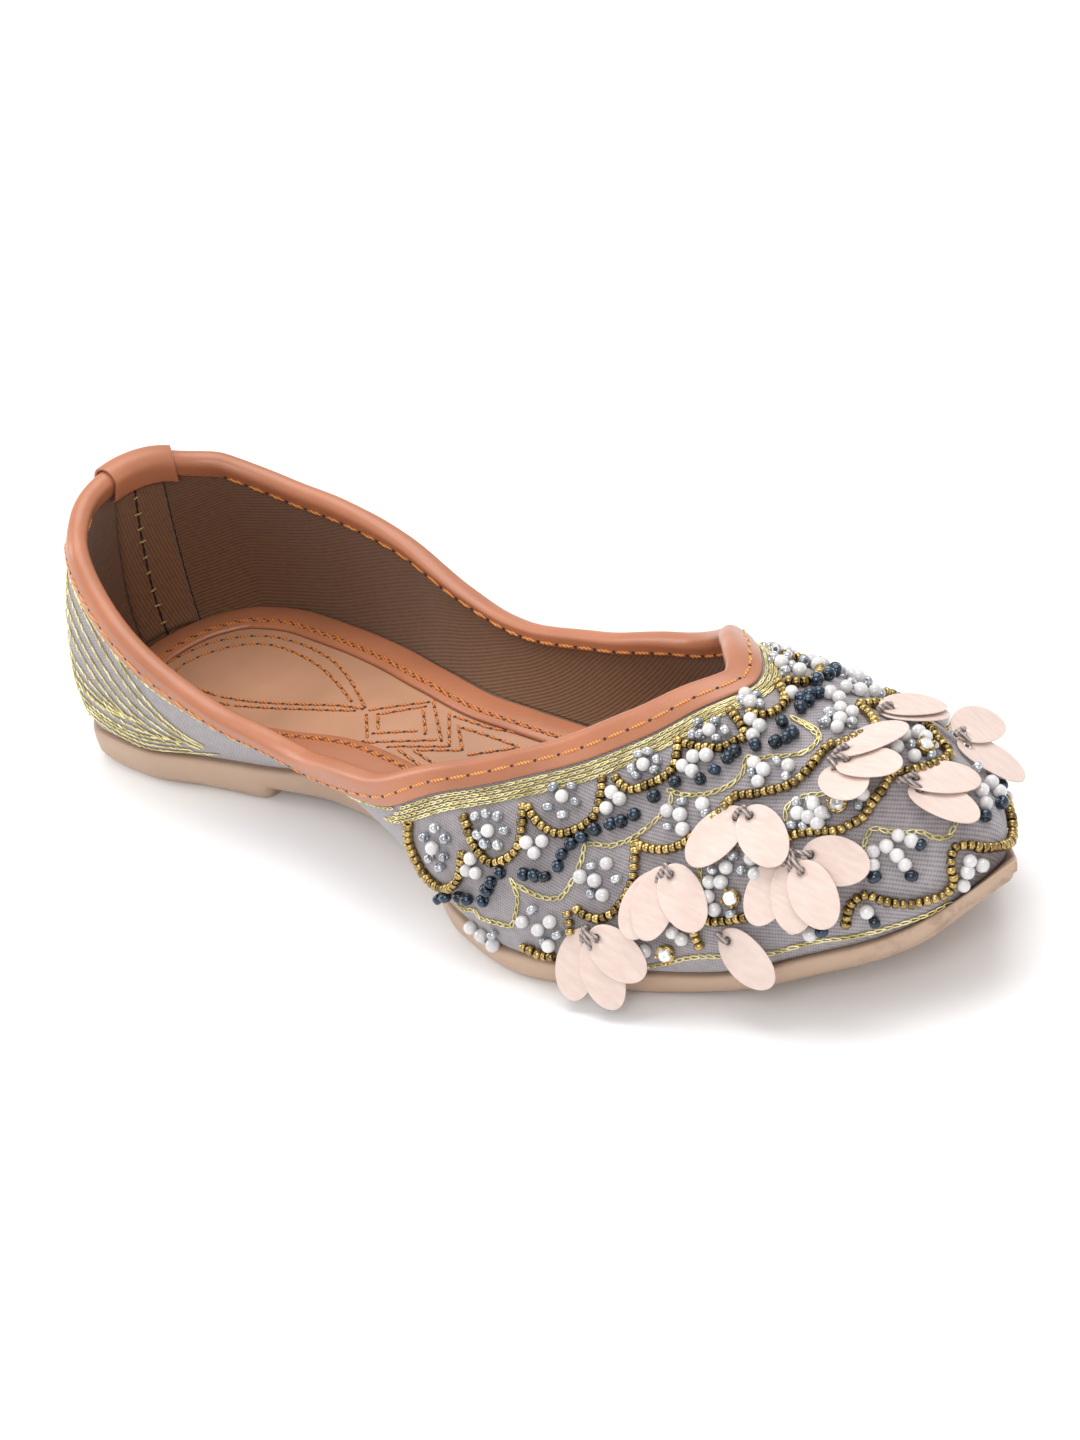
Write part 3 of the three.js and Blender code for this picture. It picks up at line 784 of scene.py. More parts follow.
def add_insole():
    """The sock board, dipped a little in its middle, and the strip round its edge."""
    colours = bpy.context.scene.mojari_colours
    turn = SKIN.turn
    plan = side_to_side(np.stack(sole_outline(turn, INSOLE_EDGE, 0), -1), INSOLE_COLUMNS)
    dip_along, dip_across = (np.sin(math.pi * np.linspace(0, 1, count)) for count in plan.shape[:2])
    top = insole_face(plan[..., 0]) - INSOLE_DIP * (dip_across * dip_along[:, None])
    face = np.concatenate([plan, top[..., None]], -1)
    foot = np.concatenate([plan, (sole_top(plan[..., 0]) + SEAT)[..., None]], -1)
    points = np.concatenate([face.reshape(-1, 3), foot.reshape(-1, 3)])
    index = np.arange(top.size).reshape(top.shape)
    quads = grid_faces(index)
    lower = quads[:, ::-1] + index.size
    ring = np.concatenate([index[:, 0], index[-1, 1:], index[-2::-1, -1], index[0, -2:0:-1]])
    after = np.roll(ring, -1)
    sides = np.stack([ring, ring + index.size, after + index.size, after], -1)
    faces = np.concatenate([quads, lower, sides])
    leather = leather_finish("insole leather", colours.insole, 0.42, 0.6)
    piece = add_piece("insole_board", points, faces, leather)
    weld(piece)
    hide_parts("insole")
    border = (
        (0, 0.05),
        (0, BORDER_THICKNESS * 0.9),
        (-0.5, BORDER_THICKNESS + 0.1),
        (-BORDER_WIDTH * 0.5, BORDER_THICKNESS + 0.15),
        (-BORDER_WIDTH + 0.6, BORDER_THICKNESS + 0.05),
        (-BORDER_WIDTH + 0.1, BORDER_THICKNESS * 0.75),
        (-BORDER_WIDTH, 0.05),
    )
    rings = []
    for out, lift in border:
        x, y = sole_outline(turn, INSOLE_EDGE + out, 0)
        rings.append(np.stack([x, y, insole_face(x) + lift], -1))
    strip = leather_finish("border leather", colours.leather, 0.32)
    faces = loft_faces(len(rings), len(turn), True)
    piece = add_piece("border_strip", np.concatenate(rings), faces, strip)
    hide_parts("insole_border")


def weld(piece):
    """Merges the points that lie together, such as where rows meet at a tip."""
    shape = bmesh.new()
    shape.from_mesh(piece.data)
    bmesh.ops.remove_doubles(shape, verts=shape.verts, dist=WELD_DISTANCE * MM)
    shape.to_mesh(piece.data)
    shape.free()


# Collar binding

ROLL_STEPS = 8


def wrap_section(outer_drop, inner_drop, roll, leather):
    """Section of the rolled strip: places down from the edge and out of the skin."""
    outside = SEAT / 3 + leather
    inside = -WALL - SEAT / 3
    middle = -WALL / 2
    section = [
        (outer_drop, outside * 0.8),
        (outer_drop * 0.75, outside),
        (max(roll, outer_drop * 0.5), outside + leather / 4),
    ]
    for step in range(ROLL_STEPS + 1):
        angle = math.pi * step / ROLL_STEPS
        section.append((-roll * math.sin(angle), middle + roll * math.cos(angle) * 1.02))
    section += [
        (inner_drop * 0.75, inside - leather * 0.9),
        (inner_drop, inside - leather * 0.7),
        (inner_drop, inside),
        (SEAT, inside),
        (-SEAT, middle),
        (SEAT, SEAT / 3),
        (outer_drop * 0.5, SEAT / 3),
        (outer_drop, SEAT / 3),
    ]
    return rounded(section)


def flange_at(turn):
    """How far the binding reaches down the outside."""
    sizes = bpy.context.scene.mojari_sizes
    station = np.where(turn > 1, 2 - turn, turn)
    return sizes.outer_flange / MM * flange_share(back_round(along_of(station)))


def add_binding():
    """The padded roll along the collar with both its flanges."""
    scene = bpy.context.scene
    sizes = scene.mojari_sizes
    shared = (sizes.inner_flange / MM, sizes.bead_radius / MM, sizes.leather / MM)
    sections = np.stack([wrap_section(drop, *shared) for drop in flange_at(SKIN.turn)], 1)
    rings = [SKIN.at(SKIN.turn, place[:, 0], place[:, 1]) for place in sections]
    leather = leather_finish("binding leather", scene.mojari_colours.leather, 0.36)
    faces = loft_faces(len(rings), len(SKIN.turn), True)
    piece = add_piece("binding", np.concatenate(rings), faces, leather)
    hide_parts("collar_binding")


# Camera

PHOTO_CENTRE = (544.0, 457.0)
PHOTO_SCALE = 1.317
CAMERA_AZIMUTH = 49.32
CAMERA_ELEVATION = 30.996
CAMERA_ROLL = -13.593
CAMERA_DISTANCE = 1207.19
CAMERA_FOCAL_PIXELS = 4506.9
CAMERA_AIM = (125.0, 0.0, 25.0)
AIM_ACROSS = 0.302
AIM_UP = -0.399
IMAGE_HEIGHT = 1440
SENSOR = 36.0


def camera_axes():
    """Where the camera stands on the shoe's own last, and its ways right, up and back."""
    azimuth, elevation, roll = (math.radians(v) for v in (CAMERA_AZIMUTH, CAMERA_ELEVATION, CAMERA_ROLL))
    flat = math.cos(elevation)
    back = np.array([math.sin(azimuth) * flat, -math.cos(azimuth) * flat, math.sin(elevation)])
    level = np.array([math.cos(azimuth), math.sin(azimuth), 0.0])
    upright = np.cross(back, level)
    right = level * math.cos(roll) + upright * math.sin(roll)
    up = -level * math.sin(roll) + upright * math.cos(roll)
    place = np.array(CAMERA_AIM) + right * AIM_ACROSS + up * AIM_UP + back * CAMERA_DISTANCE
    return place, right, up, back


# Trimmings, laid out from their places in the photograph


class PhotoView:
    """Casts places of the photograph onto the skin, as the camera of the stage sees it."""

    EDGE_ON = 0.02
    OUT_OF_SIGHT = 1e4
    NEAREST_FIRST = 0.02
    INSOLE_CASTS = 6

    def __init__(self, camera_place, right, up, back, lift=1.0):
        points = SKIN.place + SKIN.out * lift
        away = camera_place - points
        distance = away @ back
        self.x = PHOTO_CENTRE[0] - CAMERA_FOCAL_PIXELS * (away @ right) / distance
        self.y = PHOTO_CENTRE[1] + CAMERA_FOCAL_PIXELS * (away @ up) / distance
        self.camera_place, self.right, self.up, self.back = camera_place, right, up, back
        facing = (unit(away) * SKIN.out).sum(-1)
        self.hidden = np.where(facing > self.EDGE_ON, 0, self.OUT_OF_SIGHT) + distance * self.NEAREST_FIRST

    def on_insole(self, x, y):
        """Place in plan of the insole's face that shows at a place in the photograph."""
        across = (x - PHOTO_CENTRE[0]) / CAMERA_FOCAL_PIXELS
        below = (y - PHOTO_CENTRE[1]) / CAMERA_FOCAL_PIXELS
        ray = across * self.right - below * self.up - self.back
        height = SEAT
        for _ in range(self.INSOLE_CASTS):
            place = self.camera_place + ray * (height - self.camera_place[2]) / ray[2]
            height = float(insole_face(place[0]))
        return place[:2]

    def chart(self, x, y):
        """Turn and distance down of the skin that shows at a place in the photograph."""
        miss = np.hypot(self.x - x, self.y - y) + self.hidden
        i, j = np.unravel_index(miss.argmin(), miss.shape)
        j = int(np.clip(j, 1, SKIN.RISERS - 1))
        after = (i + 1) % SKIN.STATIONS
        across = np.array([self.x[after, j] - self.x[i - 1, j], self.y[after, j] - self.y[i - 1, j]]) / 2
        below = np.array([self.x[i, j + 1] - self.x[i, j - 1], self.y[i, j + 1] - self.y[i, j - 1]]) / 2
        away = np.array([x - self.x[i, j], y - self.y[i, j]])
        step, *_ = np.linalg.lstsq(np.stack([across, below], 1), away, rcond=0.1)
        step = np.clip(step, -1, 1)
        turn = (i + step[0]) * 2 / SKIN.STATIONS
        share = np.clip((j + step[1]) / SKIN.RISERS, 0, 1)
        return turn, share * SKIN.depth_of(turn)


VIEW = PhotoView(*camera_axes())

# Places in the photograph, in its pixels, along each string of antique gold drum beads,
# each line of chain stitch in pale gold thread, and the fan of long lines round the heel
BEAD_STRINGS = (
    (
        (444, 535), (444, 549), (449, 562), (457, 575), (467, 584), (476, 584), (482, 577), (484, 566),
        (485, 556),
    ),
    (
        (485, 528), (489, 539), (492, 549), (498, 558), (505, 565), (515, 564), (523, 559), (528, 551),
        (530, 540), (531, 519),
    ),
    (
        (534, 521), (538, 529), (545, 537), (556, 543), (567, 542), (577, 537), (585, 530), (589, 520),
        (591, 508), (591, 499),
    ),
    ((600, 499), (606, 506), (614, 510), (626, 506), (637, 501), (645, 493), (648, 483), (649, 470)),
    (
        (653, 474), (661, 477), (672, 478), (682, 478), (692, 473), (699, 469), (697, 461), (692, 454),
        (687, 448),
    ),
    ((701, 450), (708, 453), (718, 452), (727, 447), (730, 441), (728, 433), (724, 427)),
    ((730, 426), (741, 428), (752, 425), (757, 419), (756, 413)),
    (
        (617, 547), (616, 561), (615, 573), (612, 585), (604, 598), (597, 605), (588, 608), (578, 605),
        (570, 599),
    ),
    ((564, 601), (566, 611), (567, 621)),
    ((529, 629), (537, 632), (545, 636), (555, 637)),
    (
        (613, 550), (619, 552), (630, 555), (642, 555), (654, 550), (664, 542), (674, 533), (682, 525),
        (689, 517), (695, 514), (706, 513), (721, 510), (734, 506), (744, 498), (752, 489), (763, 476),
        (772, 474), (783, 470), (792, 466), (799, 460), (794, 452), (786, 445), (795, 444), (805, 444),
    ),
    ((805, 435), (813, 438), (819, 441)),
    (
        (721, 555), (728, 550), (735, 545), (747, 542), (757, 541), (769, 541), (780, 536), (790, 530),
        (796, 520), (803, 511), (809, 501), (816, 496), (826, 495), (839, 492), (849, 488), (855, 482),
        (850, 475), (844, 468), (840, 462), (832, 458),
    ),
    ((664, 607), (672, 610), (682, 610), (692, 608), (702, 607)),
    ((659, 611), (661, 619), (664, 627), (666, 631)),
    (
        (905, 512), (903, 521), (904, 534), (905, 543), (901, 550), (893, 553), (881, 554), (869, 552),
        (858, 555), (856, 570), (858, 580), (851, 590), (838, 594), (824, 597), (807, 595), (791, 590),
        (781, 596), (777, 606), (776, 614),
    ),
)
GOLD_THREADS = (
    (
        (477, 592), (481, 600), (491, 603), (498, 609), (508, 612), (520, 614), (524, 604), (525, 592),
        (521, 578),
    ),
    (
        (522, 582), (531, 586), (541, 591), (551, 593), (559, 591), (565, 583), (571, 571), (575, 561),
        (577, 552), (585, 551), (597, 552), (613, 546), (620, 541), (631, 532), (637, 525), (642, 516),
        (642, 510), (651, 513), (664, 513), (677, 510), (689, 504), (697, 495), (700, 485), (710, 485),
        (721, 483), (735, 482), (747, 478), (755, 469), (753, 462), (744, 457), (735, 453),
    ),
    ((740, 456), (747, 460), (753, 466), (757, 471)),
    ((757, 431), (765, 435), (771, 441)),
    ((663, 593), (664, 573), (663, 565), (672, 561), (683, 558), (694, 552)),
    ((729, 532), (730, 523), (737, 517), (747, 513), (761, 512)),
    (
        (863, 493), (869, 500), (868, 512), (864, 525), (859, 537), (853, 545), (843, 545), (832, 541),
        (820, 542), (809, 541), (797, 539), (792, 545), (789, 554), (785, 560), (780, 572),
    ),
    (
        (606, 650), (633, 645), (659, 639), (689, 638), (721, 636), (735, 632), (756, 627), (780, 624),
        (805, 618), (833, 609), (858, 597),
    ),
)
HEEL_THREADS = (
    ((186, 340), (187, 346), (199, 370), (221, 412), (251, 447), (296, 484)),
    ((185, 350), (202, 395), (231, 433), (265, 465), (294, 485)),
    ((185, 360), (196, 397), (217, 427), (245, 457), (285, 482)),
    ((185, 374), (199, 415), (224, 443), (254, 468), (272, 479)),
    ((185, 388), (200, 425), (228, 451), (261, 477)),
    ((186, 406), (203, 433), (219, 449), (240, 461)),
    ((188, 418), (197, 432), (212, 446), (230, 457)),
    ((189, 427), (200, 439), (214, 449), (228, 458)),
    ((193, 438), (222, 454), (259, 472), (273, 478)),
    ((193, 446), (224, 460), (265, 475)),
    ((197, 452), (228, 464), (273, 480)),
    ((202, 457), (238, 471), (282, 484)),
    ((211, 466), (251, 478), (301, 487)),
)

# The same for single navy beads, pearls, clear beads and cut stones
NAVY_BEADS = (
    (466, 594), (473, 591), (483, 591), (489, 593), (501, 594), (504, 586), (507, 580), (514, 573),
    (532, 574), (540, 575), (548, 576), (558, 568), (561, 559), (568, 551), (576, 546), (586, 540),
    (598, 536), (606, 534), (616, 529), (616, 529), (631, 515), (647, 504), (666, 502), (677, 495),
    (687, 486), (692, 481), (708, 476), (723, 474), (728, 459), (731, 471), (736, 467), (742, 448),
    (748, 443), (742, 441), (749, 438), (756, 437), (754, 427), (763, 423), (798, 576), (826, 575),
    (833, 552), (882, 530), (894, 520), (897, 505), (758, 617), (798, 610),
)
PEARLS = (
    (463, 554), (492, 562), (489, 571), (496, 573), (505, 541), (534, 550), (546, 549), (540, 558),
    (561, 515), (599, 512), (605, 517), (595, 524), (595, 566), (575, 576), (586, 579), (592, 590),
    (531, 610), (552, 610), (543, 616), (551, 628), (492, 614), (500, 620), (509, 627), (623, 491),
    (673, 465), (661, 485), (671, 484), (653, 492), (660, 496), (704, 457), (711, 462), (706, 469),
    (641, 526), (651, 529), (653, 540), (668, 521), (707, 490), (714, 495), (710, 504), (733, 492),
    (740, 528), (752, 522), (758, 528), (748, 531), (755, 536), (705, 562), (686, 569), (682, 580),
    (673, 580), (672, 591), (677, 601), (708, 574), (645, 618), (652, 623), (624, 632), (736, 614),
    (749, 619), (772, 449), (772, 457), (770, 463), (781, 452), (771, 441), (776, 433), (787, 435),
    (798, 436), (820, 469), (831, 467), (836, 471), (815, 478), (828, 485), (887, 496), (894, 499),
    (886, 505), (879, 511), (892, 512), (882, 521), (816, 545), (826, 549), (807, 553), (797, 557),
    (815, 560), (797, 567), (821, 567), (752, 520), (789, 514), (792, 602), (870, 564), (879, 567),
    (868, 572), (865, 582), (704, 444), (700, 438), (741, 420), (735, 437), (727, 414), (764, 437),
)
CLEAR_BEADS = (
    (456, 546), (464, 539), (472, 547), (460, 562), (471, 561), (468, 569), (495, 530), (503, 528),
    (512, 530), (497, 544), (517, 541), (502, 551), (512, 552), (554, 508), (568, 507), (550, 523),
    (571, 519), (561, 529), (614, 494), (619, 483), (626, 481), (633, 487), (631, 495), (617, 499),
    (664, 459), (666, 468), (677, 458), (685, 465), (678, 471), (660, 468), (583, 568), (602, 578),
    (583, 589), (538, 601), (557, 620), (548, 626), (508, 620), (502, 624), (652, 519), (641, 538),
    (670, 528), (705, 497), (724, 488), (731, 500), (739, 519), (735, 537), (744, 538), (749, 518),
    (675, 571), (697, 571), (667, 601), (689, 604), (691, 560), (761, 458), (763, 451), (781, 459),
    (780, 429), (784, 434), (802, 437), (843, 477), (841, 484), (826, 476), (777, 514), (786, 522),
    (762, 529), (700, 444), (711, 445), (697, 441), (708, 439), (745, 413), (735, 416), (876, 493),
    (759, 459), (765, 454), (721, 410), (730, 420),
)
STONES = ((690, 592), (640, 634), (770, 521), (836, 478))

# Turns of the near side between which the trimmings are repeated on the far side, which is hidden
MIRROR_TURNS = (0.5, 0.86)

# Lines that lie between this turn and the first of those, or that start by the heel, are not repeated
WAIST_TURN = 0.42
HEEL_TURN = 0.02

# How far the heel lines rise behind the edge of the view, as a share of what is left above them
HEEL_RISE = 0.22

# Profiles of the beads and the stones' settings: places along the axis and away from it
DRUM_PROFILE = ((-0.62, 0.4), (-0.66, 0.8), (-0.5, 1.02), (0, 1.08), (0.5, 1.02), (0.66, 0.8), (0.62, 0.4))
NAVY_PROFILE = (
    (-0.8, 0.35), (-0.85, 0.75), (-0.55, 1.1), (0, 1.2), (0.55, 1.1), (0.85, 0.75), (0.8, 0.35),
)
CLEAR_PROFILE = ((-0.6, 0.3), (-0.65, 0.6), (-0.4, 0.9), (0, 0.98), (0.4, 0.9), (0.65, 0.6), (0.6, 0.3))
STONE_PROFILE = ((0.9, 0.05), (1.2, 1.0), (1.9, 1.7), (2.5, 1.25), (2.6, 0.9), (2.6, 0.05))
SETTING_PROFILE = (
    (0.1, 0.05), (0.1, 1.5), (1.7, 1.95), (1.9, 1.8), (1.6, 1.6), (0.8, 0.9), (0.7, 0.05),
)
CLAWS = 4
CLAW_HEIGHT = 2.0
CLAW_REACH = 1.75

# Pitch along each line and lift off the skin
DRUM_PITCH = 1.55
DRUM_LIFT = 1.0
CHAIN_PITCH = 1.75
CHAIN_LIFT = 0.2

# Lines of chain stitch below the binding, and where they end along the collar
COLLAR_LINE_DROPS = (0.9, 1.9, 2.9, 3.9)
COLLAR_LINE_END = 0.6
COLLAR_LINE_STEP = 0.012
BACK_LINE_DROP = 0.6
BACK_LINE_TURNS = ((0.1, 0.58), (1.42, 1.9))

# The line over the far side's feather edge: how far above it, and between which turns
EDGE_LINE_RISE = 2.5
EDGE_LINE_TURNS = (1.06, 1.5)

# Length, width and thickness of the chain's links
SCALLOP_LINK = (2.3, 0.78, 0.18)
COLLAR_LINK = (2.3, 0.46, 0.15)
HEEL_LINK = (2.1, 0.26, 0.15)


def catmull(points, count):
    """A smooth line through points, at even steps of the count."""
    points = np.asarray(points, float)
    padded = np.concatenate([2 * points[:1] - points[1:2], points, 2 * points[-1:] - points[-2:-1]])
    t = np.linspace(0, len(points) - 1, count)
    i = np.minimum(t.astype(int), len(points) - 2)
    s = (t - i)[:, None]
    a, b, c, d = (padded[i + k] for k in range(4))
    return 0.5 * (2 * b + (c - a) * s + (2 * a - 5 * b + 4 * c - d) * s**2 + (3 * b - a - 3 * c + d) * s**3)


def along_skin(chart, pitch, depth):
    """Even places along a line of chart places: points, ways along and ways out."""
    fine = catmull(chart, 40 * len(chart))
    points = SKIN.at(fine[:, 0], fine[:, 1], depth)
    run = run_along(points)
    count = max(int(round(run[-1] / pitch)), 1)
    at = (np.arange(count) + 0.5) * run[-1] / count
    place = at_run(at, run, points)
    ahead = at_run(at + pitch * 0.2, run, points)
    chart_at = at_run(at, run, fine)
    return place, unit(ahead - place + 1e-6), SKIN.outward(chart_at[:, 0], chart_at[:, 1])


def gathered(lines):
    """Points, ways along and ways out of several lines as one."""
    return [np.concatenate(parts) for parts in zip(*lines)]


def axes(along, out):
    """Frames whose columns run along, across and out."""
    across = unit(np.cross(out, along))
    return np.stack([along, across, unit(np.cross(along, across))], -1)


def scatter(name, template, places, frames, finish, rng, sizes=None, smooth=True):
    """One mesh of many copies of a template, each with a tint of its own."""
    points, faces = template
    sizes = np.ones(len(places)) if sizes is None else sizes
    moved = np.einsum("nij,pj->npi", frames, points) * sizes[:, None, None] + places[:, None]
    starts = np.arange(len(places)) * len(points)
    all_faces = (faces[None] + starts[:, None, None]).reshape(-1, faces.shape[1])
    tint = np.repeat(rng.random(len(places)), len(points))
    return add_piece(name, moved, all_faces, finish, tint=tint, smooth=smooth)


def ring_template(profile, segments):
    """A closed profile of places along and away from the X axis, turned round it."""
    profile = np.asarray(profile, float)
    angle = np.arange(segments) * 2 * math.pi / segments
    x = np.repeat(profile[:, :1], segments, 1)
    r = profile[:, 1:]
    points = np.stack([x, r * np.cos(angle), r * np.sin(angle)], -1).reshape(-1, 3)
    return points, loft_faces(len(profile), segments, True)


def ball_template(steps, stretch=(1, 1, 1)):
    """A ball from a cube whose faces are bowed out."""
    at = np.tan(np.linspace(-1, 1, steps + 1) * math.pi / 4)
    u, v = np.meshgrid(at, at, indexing="ij")
    points, faces = [], []
    index = np.arange((steps + 1) ** 2).reshape(steps + 1, steps + 1)
    quads = grid_faces(index)
    for axis in range(3):
        for sign in (-1, 1):
            face = np.empty((*u.shape, 3))
            face[..., axis] = sign
            face[..., (axis + 1) % 3] = u * sign
            face[..., (axis + 2) % 3] = v
            faces.append(quads + len(points) * index.size)
            points.append(unit(face).reshape(-1, 3))
    return np.concatenate(points) * np.asarray(stretch), np.concatenate(faces)


LINK_STEPS = 12
LINK_SIDES = 5
TUBE_SIDES = 8


def link_template(length, width, thick):
    """A loop of thread, longer than it is wide, that rises at its front end."""
    around, about = (np.arange(count) * 2 * math.pi / count for count in (LINK_STEPS, LINK_SIDES))
    a, t = np.meshgrid(around, about, indexing="ij")
    pinch = 1 - 0.35 * np.cos(a)
    x = (length / 2 + thick * np.cos(t)) * np.cos(a)
    y = (width / 2 * pinch + thick * np.cos(t)) * np.sin(a)
    z = thick * np.sin(t) + thick * 0.8 * (1 + np.cos(a))
    return np.stack([x, y, z], -1).reshape(-1, 3), loft_faces(LINK_STEPS, LINK_SIDES, True)


def tube(points, radius):
    """A round tube through points with rounded ends, as points and faces."""
    points = catmull(points, 8 * len(points))
    along = unit(np.gradient(points, axis=0))
    side = unit(np.cross(along, np.array([0.3, 0.9, 0.2])))
    upward = np.cross(along, side)
    angle = (np.arange(TUBE_SIDES) * 2 * math.pi / TUBE_SIDES)[None, :, None]
    swell = np.ones(len(points))
    swell[[0, -1]] = 0.35
    ring = side[:, None] * np.cos(angle) + upward[:, None] * np.sin(angle)
    rings = points[:, None] + ring * (radius * swell)[:, None, None]
    inner = points[:, None] + ring * 0.02
    rings = np.concatenate([rings, inner[::-1]])
    return rings.reshape(-1, 3), loft_faces(len(rings), TUBE_SIDES, True)


def joined(shapes):
    """Several shapes of points and faces as one."""
    start, points, faces = 0, [], []
    for shape_points, shape_faces in shapes:
        points.append(shape_points)
        faces.append(shape_faces + start)
        start += len(shape_points)
    return np.concatenate(points), np.concatenate(faces)


def tinted_finish(name, dark, light, roughness, metallic, **sockets):
    """A finish that runs between two colours with each bead's own tint."""
    finish, tree, shader = new_finish(name, light, roughness, metallic, **sockets)
    tint = add_node(tree, "ShaderNodeAttribute", attribute_name="tint")
    grain = noise(tree, coordinates(tree), 1800, 2)
    own = maths(tree, "MULTIPLY", tint.outputs["Fac"], 0.75)
    mixed = maths(tree, "ADD", own, maths(tree, "MULTIPLY", grain, 0.3))
    paint(tree, shader, mixed, [(0.05, dark), (0.95, light)])
    bump(tree, shader, grain, 0.03)
    return finish


def thread_finish(name, colour, roughness, metallic, pitch=0.5):
    """Twisted thread: slanted plies of a fine pitch."""
    finish, tree, shader = new_finish(name, colour, roughness, metallic)
    place = coordinates(tree, turn=(0.6, 0.5, 0.4))
    plies = waves(tree, place, math.pi / 10 / (pitch * MM), 1.0, "DIAGONAL")
    paint(tree, shader, plies, [(0.2, scaled(colour, 0.5)), (0.7, scaled(colour, 1.15))])
    bump(tree, shader, plies, 0.12)
    return finish


def opposite(chart):
    """The same places on the other side, at the same share of the way down."""
    turn = chart[:, 0]
    other = 2 - turn
    return np.stack([other, chart[:, 1] / SKIN.depth_of(turn) * SKIN.depth_of(other)], -1)


def is_repeated(chart):
    """Whether a line of the near side is repeated on the far side."""
    first, last = chart[:, 0].min(), chart[:, 0].max()
    at_waist = first > WAIST_TURN and last < MIRROR_TURNS[0]
    return first >= HEEL_TURN and last <= MIRROR_TURNS[1] and not at_waist


def both_sides(lines):
    """Charts of lines by their places in the photograph, with those repeated on the far side."""
    charts = [np.array([VIEW.chart(*place) for place in line]) for line in lines]
    return charts + [opposite(chart) for chart in charts if is_repeated(chart)]


def spots(places):
    """Chart places of single beads, with those of the near side repeated on the far side."""
    charts = np.array([VIEW.chart(*place) for place in places])
    near = charts[(charts[:, 0] > MIRROR_TURNS[0]) & (charts[:, 0] < MIRROR_TURNS[1])]
    return np.concatenate([charts, opposite(near)])


def add_beadwork():
    """Strings of drum beads, then single beads of each kind, then the cut stones."""
    rng = np.random.default_rng(SEED)
    gold = tinted_finish("antique gold bead", (0.13, 0.085, 0.03), (0.6, 0.43, 0.17), 0.25, 1.0)
    strings = [along_skin(chart, DRUM_PITCH, DRUM_LIFT) for chart in both_sides(BEAD_STRINGS)]
    place, along, out = gathered(strings)
    along = unit(along + rng.normal(0, 0.12, along.shape))
    sizes = rng.uniform(0.9, 1.08, len(place))
    drum = ring_template(DRUM_PROFILE, 10)
    scatter("gold_drum_beads", drum, place, axes(along, out), gold, rng, sizes)
    navy = tinted_finish(
        "navy bead", (0.006, 0.01, 0.018), (0.032, 0.058, 0.09), 0.1, 0.75, Coat_Weight=0.6
    )
    pearl = tinted_finish(
        "pearl", (0.54, 0.52, 0.52), (0.7, 0.68, 0.67), 0.12, 0.0, Coat_Weight=0.8, Coat_Roughness=0.08
    )
    glass = {"Transmission_Weight": 0.3, "Coat_Weight": 0.5}
    clear = tinted_finish("clear bead", (0.3, 0.325, 0.36), (0.72, 0.735, 0.76), 0.05, 0.5, **glass)
    kinds = (
        ("navy_beads", NAVY_BEADS, ring_template(NAVY_PROFILE, 12), 1.3, navy, (1.08, 1.26)),
        ("pearls", PEARLS, ball_template(5), 1.35, pearl, (1.34, 1.5)),
        ("clear_beads", CLEAR_BEADS, ring_template(CLEAR_PROFILE, 10), 1.05, clear, (1.12, 1.34)),
    )
    for name, places, template, lift, finish, least_and_most in kinds:
        place, frames = lying_loose(places, lift, rng)
        sizes = rng.uniform(*least_and_most, len(place))
        scatter(name, template, place, frames, finish, rng, sizes)
    add_stones(rng)


def lying_loose(places, lift, rng):
    """Points and frames of single pieces, each turned at random about its way out."""
    charts = spots(places)
    out = SKIN.outward(charts[:, 0], charts[:, 1])
    along = unit(np.cross(out, rng.normal(0, 1, out.shape)))
    return SKIN.at(charts[:, 0], charts[:, 1], lift), axes(along, out)


def add_stones(rng):
    """Cut stones in gold settings with four claws."""
    place, frames = lying_loose(STONES, 0.0, rng)
    upright = frames[..., [2, 0, 1]]
    cut = ring_template(STONE_PROFILE, 8)
    stone = tinted_finish("cut stone", (0.55, 0.56, 0.55), (1, 1, 0.97), 0.03, 0.55, Coat_Weight=1.0)
    scatter("cut_stones", cut, place, upright, stone, rng, smooth=False)
    claw_points, claw_faces = ball_template(2, (0.4, 0.4, 0.9))
    parts = [ring_template(SETTING_PROFILE, 16)]
    for k in range(CLAWS):
        angle = math.pi / 4 + k * 2 * math.pi / CLAWS
        shift = np.array([CLAW_HEIGHT, CLAW_REACH * math.cos(angle), CLAW_REACH * math.sin(angle)])
        parts.append((claw_points[:, [2, 0, 1]] + shift, claw_faces))
    gold = tinted_finish("stone setting", (0.3, 0.2, 0.07), (0.75, 0.55, 0.22), 0.25, 1.0)
    scatter("stone_settings", joined(parts), place, upright, gold, rng)


def collar_line(extra, start, end, count=160):
    """A line of chart places at a distance below the binding's outer edge."""
    turn = np.linspace(start, end, count)
    return np.stack([turn, flange_at(turn % 2) + extra], -1)


def round_the_back(line):
    """A heel line, carried on from the edge of the view to the back of the heel, where it meets its twin."""
    chart = np.array([VIEW.chart(*place) for place in line])
    chart[:, 0] -= np.where(chart[:, 0] > 1.5, 2, 0)
    chart = chart[np.argsort(chart[:, 0])]
    top = float(flange_at(0.0)) + 1
    steps = np.array([[0.0], [0.5]])
    down = chart[0, 1] - (chart[0, 1] - top) * HEEL_RISE * (1 - steps)
    chart = np.concatenate([np.concatenate([chart[0, 0] * steps, down], 1), chart[chart[:, 0] > 0]])
    bend = np.polynomial.Polynomial.fit(chart[:, 0], chart[:, 1], 3)
    turn = np.linspace(0, chart[-1, 0], 9)
    return np.stack([turn, bend(turn)], -1)


